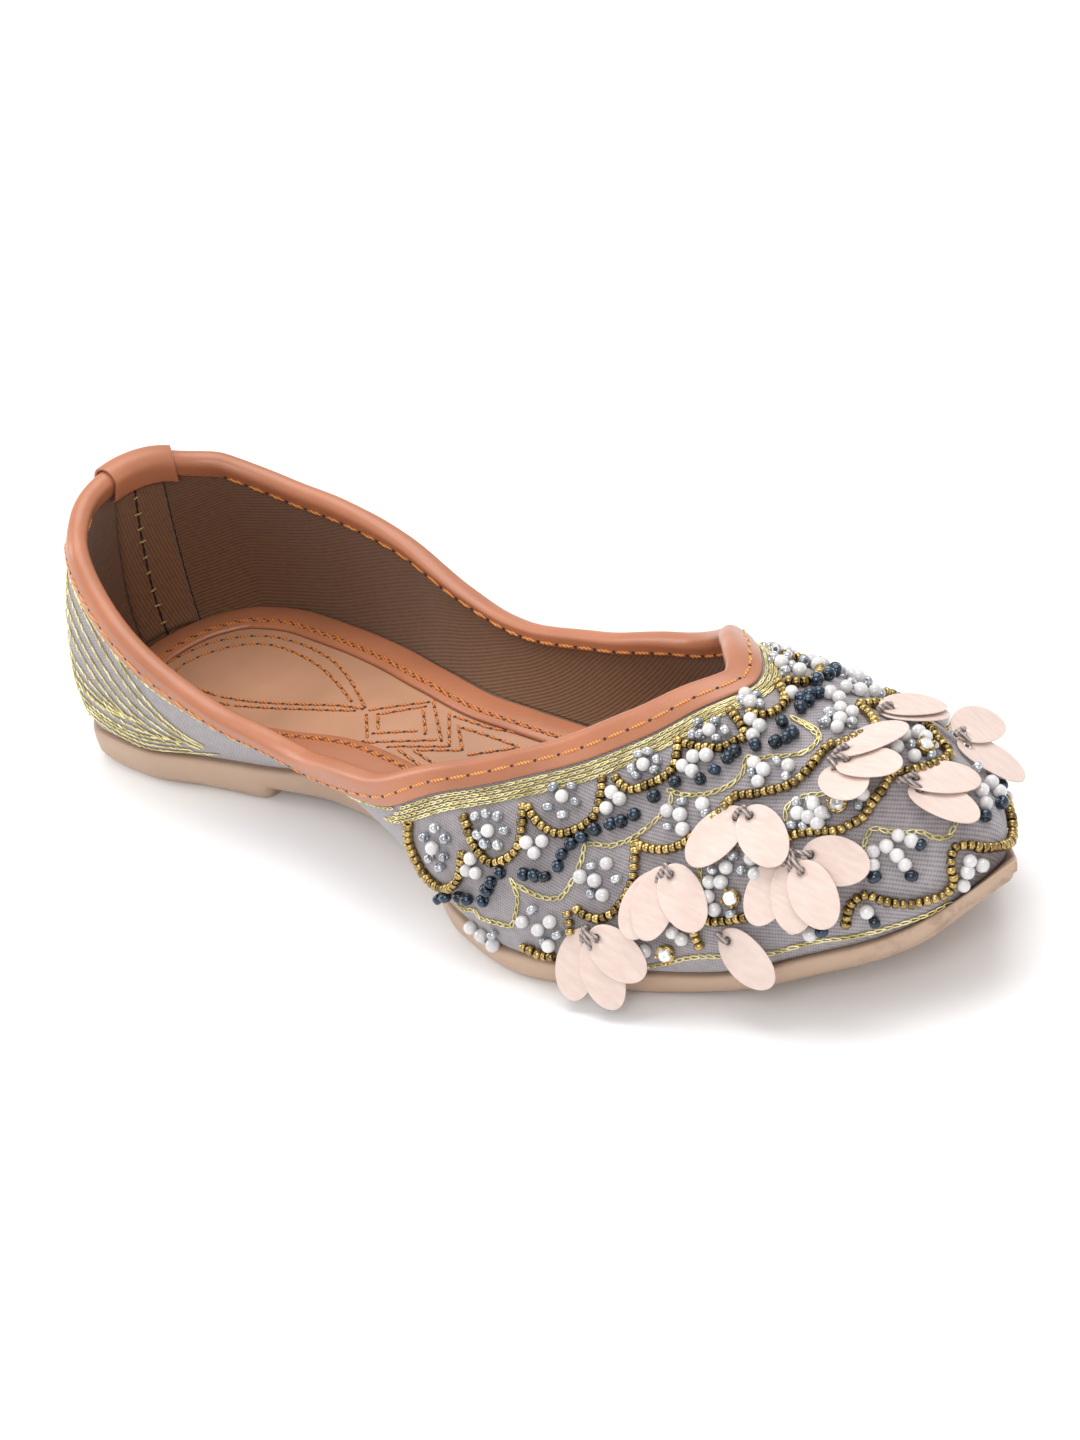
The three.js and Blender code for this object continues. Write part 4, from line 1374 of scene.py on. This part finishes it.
def add_gold_thread():
    """Chain stitch: the scallops of the vamp, the lines by the collar and the fan round the heel."""
    rng = np.random.default_rng(SEED)
    gold = tinted_finish("pale gold thread", (0.5, 0.41, 0.14), (1.0, 0.9, 0.5), 0.36, 0.6)
    collar_lines = []
    for drop in COLLAR_LINE_DROPS:
        reach = COLLAR_LINE_END - drop * COLLAR_LINE_STEP
        collar_lines.append(collar_line(drop, reach, 2 - reach))
    collar_lines += [collar_line(BACK_LINE_DROP, *turns, 60) for turns in BACK_LINE_TURNS]
    edge = np.linspace(*EDGE_LINE_TURNS, 60)
    collar_lines.append(np.stack([edge, SKIN.depth_of(edge) - EDGE_LINE_RISE], -1))
    heel_lines = [round_the_back(line) for line in HEEL_THREADS]
    heel_lines += [np.stack([2 - line[:, 0], line[:, 1]], -1) for line in heel_lines]
    rows = (
        ("chain_stitch", link_template(*SCALLOP_LINK), both_sides(GOLD_THREADS)),
        ("collar_stitch", link_template(*COLLAR_LINK), collar_lines),
        ("heel_stitch", link_template(*HEEL_LINK), heel_lines),
    )
    for name, template, charts in rows:
        place, along, out = gathered([along_skin(chart, CHAIN_PITCH, CHAIN_LIFT) for chart in charts])
        sizes = rng.uniform(0.9, 1.08, len(place))
        along = unit(along + rng.normal(0, 0.06, along.shape))
        scatter(name, template, place, axes(along, out), gold, rng, sizes)


# Stitches in the leather

BINDING_PITCH = 4.9
INSOLE_PITCH = 3.4
INSOLE_STITCH = 2.7
# Sizes of the dark dots of painted shade that stand for needle holes, in the binding and the insole
NEEDLE_HOLE = (0.42, 0.38, 0.1)
INSOLE_HOLE = (0.42, 0.36, 0.12)

# Where the binding is sewn: the turns between which each seam runs, and how far it lies in from the
# flange's end. The outer one keeps to a least distance below the collar's edge.
OUTER_SEAM_TURNS = (0.12, 1.88)
OUTER_SEAM_INSET = 2.6
OUTER_SEAM_LEAST = 1.6
INNER_SEAM_TURNS = (0.07, 1.86)
INNER_SEAM_INSET = 1.1
SEAM_POINTS = 900

# How far in from its inner edge the border is sewn down
BORDER_SEAMS = (2.0, 2.5)


def stitch_template(length, swell=1.0):
    """One stitch: a slim rounded bar along the thread."""
    return ball_template(3, (length / 2, 0.28 * swell, 0.24 * swell))


def even_marks(points, out, pitch, offset=0.0):
    """Places of one pitch along a line of points, with ways along and ways out."""
    run = run_along(points)
    at = np.arange(pitch * (0.5 + offset), run[-1] - pitch * 0.3, pitch)
    place = at_run(at, run, points)
    ahead = at_run(at + 0.5, run, points)
    return place, unit(ahead - place), unit(at_run(at, run, out))


def add_binding_stitches():
    """The running stitches of both flanges, and dark dots of painted shade for the needle holes between them.
    """
    rng = np.random.default_rng(SEED)
    sizes = bpy.context.scene.mojari_sizes
    orange = thread_finish("orange thread", (0.78, 0.3, 0.07), 0.45, 0.0)
    # Near-black dots of painted shade stand for the needle holes
    dark, _, _ = new_finish("needle hole", (0.06, 0.02, 0.01), 0.9)
    turn = np.linspace(*OUTER_SEAM_TURNS, SEAM_POINTS)
    down = np.maximum(flange_at(turn) - OUTER_SEAM_INSET, OUTER_SEAM_LEAST)
    outer = SKIN.at(turn, down, SEAT / 3 + sizes.leather / MM * 1.06 + 0.12)
    outer_out = SKIN.outward(turn, down)
    turn = np.linspace(*INNER_SEAM_TURNS, SEAM_POINTS)
    inner_depth = -WALL - SEAT / 3 - sizes.leather / MM - 0.08
    inner = SKIN.at(turn, sizes.inner_flange / MM - INNER_SEAM_INSET, inner_depth)
    inner_out = -SKIN.outward(turn, 2.0)
    stitch = stitch_template(sizes.stitch / MM + 1.0, 1.15)
    dent = ball_template(2, NEEDLE_HOLE)
    lines = ((outer, outer_out), (inner, inner_out))
    rows = (("binding_stitches", stitch, orange, 0.0), ("needle_hole_shades", dent, dark, 0.5))
    for name, template, finish, offset in rows:
        place, along, out = gathered([even_marks(*line, BINDING_PITCH, offset) for line in lines])
        scatter(name, template, place, axes(along, out), finish, rng)


# Stitched lines of the insole by their places in the photograph: whether each is bent, then its places
INSOLE_LINES = (
    (True, (
        (310, 446), (272, 437), (254, 422), (263, 413), (290, 400), (317, 394), (341, 394), (364, 400),
        (385, 411), (400, 427), (412, 449),
    )),
    (True, (
        (300, 439), (279, 431), (268, 422), (275, 414), (296, 405), (318, 400), (339, 400), (358, 406),
        (376, 416), (390, 429), (401, 443),
    )),
    (True, ((300, 439), (325, 443), (358, 445), (391, 446), (412, 449))),
    (True, ((310, 446), (340, 448), (370, 449), (409, 450))),
    (False, ((412, 450), (463, 443), (469, 472), (413, 474), (412, 450))),
    (False, ((421, 453), (455, 447), (457, 465), (421, 467), (421, 453))),
    (False, ((550, 472), (505, 463), (475, 453), (475, 477), (433, 477), (457, 495))),
    (False, ((487, 484), (529, 478), (482, 462), (485, 480), (448, 480), (466, 492))),
    (True, ((340, 466), (370, 472), (400, 481), (433, 495))),
    (True, ((352, 472), (385, 478), (418, 490))),
)


def add_insole_stitches():
    """The stitched figures of the heel seat and the border's seams, with a dark dot of painted shade for the
    hole after each stitch.
    """
    rng = np.random.default_rng(SEED)
    orange = thread_finish("insole thread", (0.62, 0.2, 0.045), 0.4, 0.0)
    lines = []
    for bent, line in INSOLE_LINES:
        plan = np.array([VIEW.on_insole(*place) for place in line])
        plan = catmull(plan, 200) if bent else straight(plan, 200)
        lines.append(np.concatenate([plan, (insole_face(plan[:, 0]) + 0.04)[:, None]], 1))
    for inwards in BORDER_SEAMS:
        x, y = sole_outline(SKIN.turn, INSOLE_EDGE + (-BORDER_WIDTH + inwards), 0)
        lines.append(np.stack([x, y, insole_face(x) + BORDER_THICKNESS + 0.1], -1))
    upward = np.array([[0.0, 0.0, 1.0]])
    marks = [even_marks(line, np.repeat(upward, len(line), 0), INSOLE_PITCH) for line in lines]
    place, along, out = gathered(marks)
    stitch = stitch_template(INSOLE_STITCH, 1.3)
    scatter("insole_stitches", stitch, place, axes(along, out), orange, rng)
    # Near-black dots of painted shade stand for the needle holes
    dark, _, _ = new_finish("insole needle hole", (0.09, 0.03, 0.012), 0.9)
    dent = ball_template(2, INSOLE_HOLE)
    holes = place + along * INSOLE_PITCH / 2
    scatter("insole_hole_shades", dent, holes, axes(along, out), dark, rng)


def straight(line, count):
    """A line with corners, at even steps."""
    run = run_along(line)
    return at_run(np.linspace(0, run[-1], count), run, line)


# Back tab and heel tape

TAB_WIDTH = 18
TAB_OFFSET = 7.2
TAB_THICKNESS = 0.6
TAB_OUTER_DROP = 6
TAB_INNER_DROP = 5.4
TAB_COLUMNS = 15
TAB_BOW_POINTS = 17
TAPE_WIDTH = 12
TAPE_OFFSET = 6.2
TAPE_TOP = 6
TAPE_END = 46
TAPE_ROWS = 41
TAPE_COLUMNS = 9
TAPE_LIFTS = (0.45, 0.05)
SEAM_OFFSET = 5.2
SEAM_PITCH = 4.4

# How many lines of the chart the tab and the tape may reach to either side of the back
BACK_STATIONS = 120

# Bevel of the tab's edges
SOFT_WIDTH = 0.25
SOFT_STEPS = 2
SOFT_ANGLE = 40


def turn_from_back(distance):
    """Turn of the collar's edge at a distance from its back towards the far side."""
    edge = SKIN.place[:, 0]
    near = run_along(edge[:BACK_STATIONS])
    far = run_along(edge[-np.arange(BACK_STATIONS)])
    steps = np.arange(BACK_STATIONS) * 2 / SKIN.STATIONS
    distance = np.asarray(distance, float)
    return np.where(distance >= 0, 2 - np.interp(distance, far, steps), np.interp(-distance, near, steps)) % 2


def closed_sweep(sections):
    """A sweep of closed bands with both its ends closed."""
    sections = np.asarray(sections)
    rings, count = sections.shape[:2]
    k = np.arange(count // 2 - 1)
    cap = np.stack([k, k + 1, count - 2 - k, count - 1 - k], -1)
    end = (rings - 1) * count
    faces = np.concatenate([loft_faces(rings, count, False), cap[:, ::-1], cap + end])
    return sections.reshape(-1, 3), faces


def add_back_tab():
    """The leather wrap over the collar at the heel, and the tape below it."""
    scene = bpy.context.scene
    sizes = scene.mojari_sizes
    leather = sizes.leather / MM
    outside = SEAT + leather * 4 / 3 + SEAT
    inside = WALL + SEAT + leather + SEAT
    middle = (outside - inside) / 2
    reach = (outside + inside) / 2
    rise = sizes.bead_radius / MM + SEAT
    bow = np.linspace(0, math.pi, TAB_BOW_POINTS)

    def face(offset):
        """The wrap's section, from its outer end over the roll to its inner end."""
        arch = np.stack([-(rise + offset) * np.sin(bow), middle + (reach + offset) * np.cos(bow)], -1)
        top = [[TAB_OUTER_DROP, outside + offset * 0.6], [TAB_OUTER_DROP * 0.5, outside + offset]]
        foot = [
            [sizes.inner_flange / MM + 0.6, -inside - offset],
            [TAB_INNER_DROP, -WALL - SEAT - offset * 0.8],
        ]
        return np.concatenate([top, arch, foot])

    cover = np.concatenate([face(TAB_THICKNESS), face(0)[::-1]])
    columns = np.linspace(TAB_OFFSET - TAB_WIDTH / 2, TAB_OFFSET + TAB_WIDTH / 2, TAB_COLUMNS)
    turns = turn_from_back(columns)
    points, faces = closed_sweep([SKIN.at(turn, cover[:, 0], cover[:, 1]) for turn in turns])
    finish = leather_finish("tab leather", scene.mojari_colours.leather, 0.38)
    piece = add_piece("tab_leather", points, faces, finish)
    soften(piece)
    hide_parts("back_tab")
    add_heel_tape()


def soften(piece):
    """Rounds the piece's sharp edges."""
    modifier = piece.modifiers.new("soft edges", "BEVEL")
    modifier.width = SOFT_WIDTH * MM
    modifier.segments = SOFT_STEPS
    modifier.limit_method = "ANGLE"
    modifier.angle_limit = math.radians(SOFT_ANGLE)


def add_heel_tape():
    """A strip over the lining's seam and its uneven seam stitches, with dark dashes of painted shadow in the
    seam and along the tape's edge.
    """
    rng = np.random.default_rng(SEED)
    colour = bpy.context.scene.mojari_colours.lining
    tape = weave_finish("heel tape", scaled(colour, 1.25), 0.7, 0.2, 0.08, 0.8)
    rows = np.linspace(TAPE_TOP, TAPE_END, TAPE_ROWS)
    columns = np.linspace(TAPE_OFFSET - TAPE_WIDTH / 2, TAPE_OFFSET + TAPE_WIDTH / 2, TAPE_COLUMNS)
    turns = turn_from_back(columns)
    face, back = (np.stack([SKIN.at(turns, row, -WALL - lift) for row in rows]) for lift in TAPE_LIFTS)
    points, faces = closed_sweep(np.concatenate([face, back[:, ::-1]], 1))
    run = np.tile(np.concatenate([columns, columns[::-1]]), len(rows))
    uv = np.stack([run, np.repeat(rows, 2 * len(columns))], -1)
    add_piece("heel_tape", points, faces[:, ::-1], tape, uv=uv)
    gold = thread_finish("seam thread", (0.55, 0.4, 0.16), 0.4, 0.2)
    # Near-black finish of painted shadow, laid in dashes in the seam and along the tape's edge
    black, _, _ = new_finish("seam shadow", (0.012, 0.006, 0.004), 0.9)
    loops = np.arange(TAPE_TOP + 2, TAPE_END - 1, SEAM_PITCH)
    loops = loops + rng.normal(0, 0.4, len(loops))
    shadow_downs = np.arange(TAPE_TOP, TAPE_END, SEAM_PITCH / 2)
    # The last two rows are dashes of painted shadow: the seam's crack and the tape's edge
    rows = (
        ("seam_loops", gold, SEAM_OFFSET, loops, 1.9, 0.7),
        ("seam_line", black, SEAM_OFFSET, shadow_downs, 2.5, 0.5),
        ("tape_edge_shadow", black, TAPE_OFFSET + TAPE_WIDTH / 2 + 0.1, shadow_downs, 2.5, 0.1),
    )
    for name, finish, offset, downs, length, lift in rows:
        turns = np.full(len(downs), float(turn_from_back(offset)))
        place = SKIN.at(turns, downs, -WALL - lift)
        out = -SKIN.outward(turns, downs)
        way = unit(SKIN.at(turns, downs + 1, 0) - SKIN.at(turns, downs, 0))
        if name == "seam_loops":
            way = unit(np.cross(out, way) + rng.normal(0, 0.15, out.shape))
        scatter(name, stitch_template(length), place, axes(way, out), finish, rng)


# Hanging discs

DISC_LENGTH = 15
DISC_WIDTH = 9.6
DISC_THICKNESS = 0.4
HOLE_RADIUS = 0.9
HOLE_INSET = 2.1
DISC_STEPS = 36
KNOT_RADIUS = 0.8
CORD_RADIUS = 0.5
STRAY_RADIUS = 0.3

# Each group's station, side, share of the way down, heading and lean in degrees, and lift in seats,
# then each of its discs' heading in degrees, reach as a share of its length, and layer
DISC_GROUPS = (
    (0.682, "near", 0.693, -25, 6, 1.7, ((-62, 0.16, 0), (-20, 0.28, 1), (15, 0.24, 2))),
    (0.77, "near", 0.52, -55, 7, 2, ((-74, 0.24, 0), (-58, 0.16, 1), (-8, 0.17, 2))),
    (0.848, "near", 0.457, -60, 8, 3, ((-92, 0.16, 0), (-8, 0.16, 1))),
    (0.85, "near", 0.646, -30, 8, 2, ((-77, 0.21, 0), (-40, 0.23, 1), (-15, 0.35, 2), (28, 0.27, 0))),
    (0.765, "near", 0.799, 7, 12, 2.7, ((2, 0.15, 0),)),
    (0.938, "near", 0.472, -30, 25, 2, ((-23, 0.23, 0), (13, 0.29, 1), (62, 0.23, 2))),
    (0.97, "near", 0.639, -57, 21, 3, ((11, 0.29, 0), (51, 0.2, 1))),
    (0.888, "far", 0.658, -88, 20, 4, ((-14, 0.2, 0), (-81, 0.16, 1))),
    (0.935, "far", 0.442, -60, 1, 1.7, ((-55, 0.15, 0), (-66, 0.17, 1))),
)


def disc_shape():
    """Oval plate with a hole near one end, slightly bowed, lying along X from its hole."""
    rim = np.arange(DISC_STEPS) * 2 * math.pi / DISC_STEPS
    centre = DISC_LENGTH / 2 - HOLE_INSET
    middle = DISC_THICKNESS / 2
    outer = np.stack([centre + DISC_LENGTH / 2 * np.cos(rim), DISC_WIDTH / 2 * np.sin(rim)], -1)
    hole = np.stack([HOLE_RADIUS * np.cos(rim), HOLE_RADIUS * np.sin(rim)], -1)
    top, low = [], []
    for share in (0, 0.12, 0.3, 0.5, 0.7, 0.88, 0.98, 1):
        plan = hole * (1 - share) + outer * share
        thin = DISC_THICKNESS / 2 * (1 if share < 0.98 else 0.55)
        bow = 0.035 * (plan[:, 1] ** 2) - 0.012 * (plan[:, 0] - centre) ** 2
        for rings, half in ((top, thin), (low, -thin)):
            rings.append(np.concatenate([plan, (middle + bow * 0.35 + half)[:, None]], 1))
    return np.concatenate(top + low[::-1]), loft_faces(len(top) + len(low), DISC_STEPS, True)


def satin_finish():
    """Pale pink plastic with a soft gloss and faint streaks along the disc."""
    finish, tree, shader = new_finish(
        "satin disc", (0.68, 0.5, 0.43), 0.4, Coat_Weight=0.35, Coat_Roughness=0.2, Subsurface_Weight=0.15
    )
    shader.inputs["Subsurface Radius"].default_value = (0.002, 0.001, 0.0008)
    streaks = noise(tree, coordinates(tree, scale=(1, 6, 1)), 240, 3)
    paint(tree, shader, streaks, [(0.3, (0.64, 0.49, 0.43)), (0.7, (0.7, 0.565, 0.505))])
    bump(tree, shader, streaks, 0.04)
    return finish


def add_discs():
    """Groups of discs, fanned out from a knot, each held by a cord and a stray thread."""
    satin = satin_finish()
    cord = thread_finish("knot thread", (0.36, 0.3, 0.28), 0.35, 0.35, 0.8)
    plate, plate_faces = disc_shape()
    knots = []
    count = 0
    for station, side, share, towards, lean, lift, discs in DISC_GROUPS:
        turn, hand = (station, 1) if side == "near" else (2 - station, -1)
        down = share * SKIN.depth_of(turn)
        point = SKIN.at(turn, down)
        out = SKIN.outward(turn, down)
        downward = SKIN.at(turn, down + 1) - point
        downward = unit(downward - out * (downward @ out))
        to_toe = np.cross(out, downward) * hand
        bearing, leaning = math.radians(towards), math.radians(lean)
        way = downward * math.cos(bearing) + to_toe * math.sin(bearing)
        ahead = way * math.cos(leaning) + out * math.sin(leaning)
        normal = out * math.cos(leaning) - way * math.sin(leaning)
        centre = point + out * (lift * SEAT + 1.0)
        knots.append(ball_at(centre, KNOT_RADIUS))
        for heading, reach, layer in discs:
            swing = math.radians(heading - towards) * hand
            along = ahead * math.cos(swing) + np.cross(normal, ahead) * math.sin(swing)
            across_disc = np.cross(normal, along)
            height = lift * SEAT + layer * (DISC_THICKNESS + SEAT)
            place = point + along * reach * DISC_LENGTH + normal * height
            count += 1
            points = plate @ np.stack([along, across_disc, normal], -1).T + place
            piece = add_piece(f"satin_disc_{count:02d}", points, plate_faces, satin)
            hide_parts(f"disc_{count:02d}")
            over = place + normal * (DISC_THICKNESS + 0.55)
            bent_over = (centre + over) / 2 + normal * 0.5
            knots.append(tube([centre, bent_over, over, place - normal * 0.1], CORD_RADIUS))
            stray = place + along * 0.4 + normal * 0.6 + across_disc * 0.5
            knots.append(tube([centre, (centre + stray) / 2 + normal * 0.7, stray], STRAY_RADIUS))
    points, faces = joined(knots)
    add_piece("knot_thread", points, faces, cord)


def ball_at(centre, radius):
    """A knot's ball."""
    points, faces = ball_template(3, (radius, radius, radius))
    return points + centre, faces


# Stage, in metres and watts

FLOOR_REACH = 4.0
WORLD_STRENGTH = 0.74
CLIP_NEAR = 0.05
CLIP_FAR = 20

# Each light's name, place, aim, size and power
LIGHTS = (
    ("top softbox", (-0.1, 0.25, 1.1), (0, 0, 0), (1.0, 1.0), 10.5),
    ("front softbox", (0.7, -0.9, 0.8), (0, 0, 0.03), (0.7, 0.7), 6),
    ("left softbox", (-0.9, -0.3, 0.5), (0, 0, 0.03), (0.4, 0.7), 3.4),
)


def add_camera():
    """The camera at the photograph's angle to the shoe, with the whole shoe in view."""
    place, right, up, back = camera_axes()
    data = bpy.data.cameras.new("photo camera")
    data.sensor_width = SENSOR
    data.lens = CAMERA_FOCAL_PIXELS * PHOTO_SCALE / IMAGE_HEIGHT * SENSOR
    data.clip_start = CLIP_NEAR
    data.clip_end = CLIP_FAR
    camera = bpy.data.objects.new("photo camera", data)
    bpy.context.scene.collection.objects.link(camera)
    turned = Matrix([Vector(axis) for axis in (right, up, back)]).transposed().to_4x4()
    camera.matrix_world = Matrix.Translation(Vector((place + SHIFT) * MM)) @ turned
    bpy.context.scene.camera = camera


def add_light(name, place, aim, size, power):
    """A rectangular area light, turned to what it aims at."""
    data = bpy.data.lights.new(name, "AREA")
    data.shape = "RECTANGLE"
    data.size, data.size_y = size
    data.energy = power
    light = bpy.data.objects.new(name, data)
    bpy.context.scene.collection.objects.link(light)
    light.location = place
    light.rotation_euler = (Vector(aim) - Vector(place)).to_track_quat("-Z", "Y").to_euler()


def add_stage():
    """A pale floor, even light all round, three softboxes and the camera."""
    finish, tree, shader = new_finish("pale floor", (0.9, 0.9, 0.9), 0.7)
    speckle = noise(tree, coordinates(tree), 3, 1)
    paint(tree, shader, speckle, [(0, (0.89, 0.89, 0.9)), (1, (0.91, 0.91, 0.91))])
    mesh = bpy.data.meshes.new("floor")
    corners = [(FLOOR_REACH * x, FLOOR_REACH * y, 0) for x, y in ((-1, -1), (1, -1), (1, 1), (-1, 1))]
    mesh.from_pydata(corners, [], [(0, 1, 2, 3)])
    mesh.materials.append(finish)
    floor = bpy.data.objects.new("floor", mesh)
    bpy.context.scene.collection.objects.link(floor)
    world = bpy.data.worlds.new("studio")
    world.use_nodes = True
    background = world.node_tree.nodes["Background"]
    background.inputs["Color"].default_value = (1, 1, 1, 1)
    background.inputs["Strength"].default_value = WORLD_STRENGTH
    bpy.context.scene.world = world
    for light in LIGHTS:
        add_light(*light)
    bpy.context.scene.view_settings.view_transform = "Standard"
    add_camera()


class MOJARI_OT_sole(Operator):
    """Build the moulded sole"""

    bl_idname = "mojari.sole"
    bl_label = "Sole"

    def execute(self, context):
        add_outsole()
        return {"FINISHED"}


class MOJARI_OT_upper(Operator):
    """Build the fabric upper and its lining"""

    bl_idname = "mojari.upper"
    bl_label = "Upper and lining"

    def execute(self, context):
        add_upper()
        return {"FINISHED"}


class MOJARI_OT_insole(Operator):
    """Build the insole and its border strip"""

    bl_idname = "mojari.insole"
    bl_label = "Insole"

    def execute(self, context):
        add_insole()
        return {"FINISHED"}


class MOJARI_OT_binding(Operator):
    """Build the rolled collar binding"""

    bl_idname = "mojari.binding"
    bl_label = "Collar binding"

    def execute(self, context):
        add_binding()
        return {"FINISHED"}


class MOJARI_OT_tab(Operator):
    """Build the back tab and the heel tape"""

    bl_idname = "mojari.tab"
    bl_label = "Back tab and heel tape"

    def execute(self, context):
        add_back_tab()
        return {"FINISHED"}


class MOJARI_OT_stitches(Operator):
    """Sew the stitches of the binding and the insole"""

    bl_idname = "mojari.stitches"
    bl_label = "Stitches"

    def execute(self, context):
        add_binding_stitches()
        add_insole_stitches()
        return {"FINISHED"}


class MOJARI_OT_embroidery(Operator):
    """Sew the chain stitches of gold thread"""

    bl_idname = "mojari.embroidery"
    bl_label = "Gold embroidery"

    def execute(self, context):
        add_gold_thread()
        return {"FINISHED"}


class MOJARI_OT_beads(Operator):
    """Sew on the beads, pearls and stones"""

    bl_idname = "mojari.beads"
    bl_label = "Beads"

    def execute(self, context):
        add_beadwork()
        return {"FINISHED"}


class MOJARI_OT_discs(Operator):
    """Hang the satin discs on their knots"""

    bl_idname = "mojari.discs"
    bl_label = "Satin discs"

    def execute(self, context):
        add_discs()
        return {"FINISHED"}


class MOJARI_OT_stage(Operator):
    """Build the floor, the lights and the camera"""

    bl_idname = "mojari.stage"
    bl_label = "Stage"

    def execute(self, context):
        add_stage()
        return {"FINISHED"}


STEPS = (
    MOJARI_OT_sole,
    MOJARI_OT_upper,
    MOJARI_OT_insole,
    MOJARI_OT_binding,
    MOJARI_OT_tab,
    MOJARI_OT_stitches,
    MOJARI_OT_embroidery,
    MOJARI_OT_beads,
    MOJARI_OT_discs,
    MOJARI_OT_stage,
)


class MOJARI_PT_panel(Panel):
    """Sizes, colours and steps of the shoe"""

    bl_idname = "MOJARI_PT_panel"
    bl_label = "Mojari Shoe"
    bl_space_type = "VIEW_3D"
    bl_region_type = "UI"
    bl_category = "Mojari"

    def draw(self, context):
        layout = self.layout
        for group in (context.scene.mojari_sizes, context.scene.mojari_colours):
            for name in group.__annotations__:
                layout.prop(group, name)
        for step in STEPS:
            layout.operator(step.bl_idname)


CLASSES = (MojariSizes, MojariColours, *STEPS, MOJARI_PT_panel)


def register():
    for entry in CLASSES:
        bpy.utils.register_class(entry)
    bpy.types.Scene.mojari_sizes = PointerProperty(type=MojariSizes)
    bpy.types.Scene.mojari_colours = PointerProperty(type=MojariColours)


def unregister():
    del bpy.types.Scene.mojari_colours
    del bpy.types.Scene.mojari_sizes
    for entry in reversed(CLASSES):
        bpy.utils.unregister_class(entry)


def main():
    register()
    bpy.ops.mojari.sole()
    bpy.ops.mojari.upper()
    bpy.ops.mojari.insole()
    bpy.ops.mojari.binding()
    bpy.ops.mojari.tab()
    bpy.ops.mojari.stitches()
    bpy.ops.mojari.embroidery()
    bpy.ops.mojari.beads()
    bpy.ops.mojari.discs()
    bpy.ops.mojari.stage()


if __name__ == "__main__":
    main()
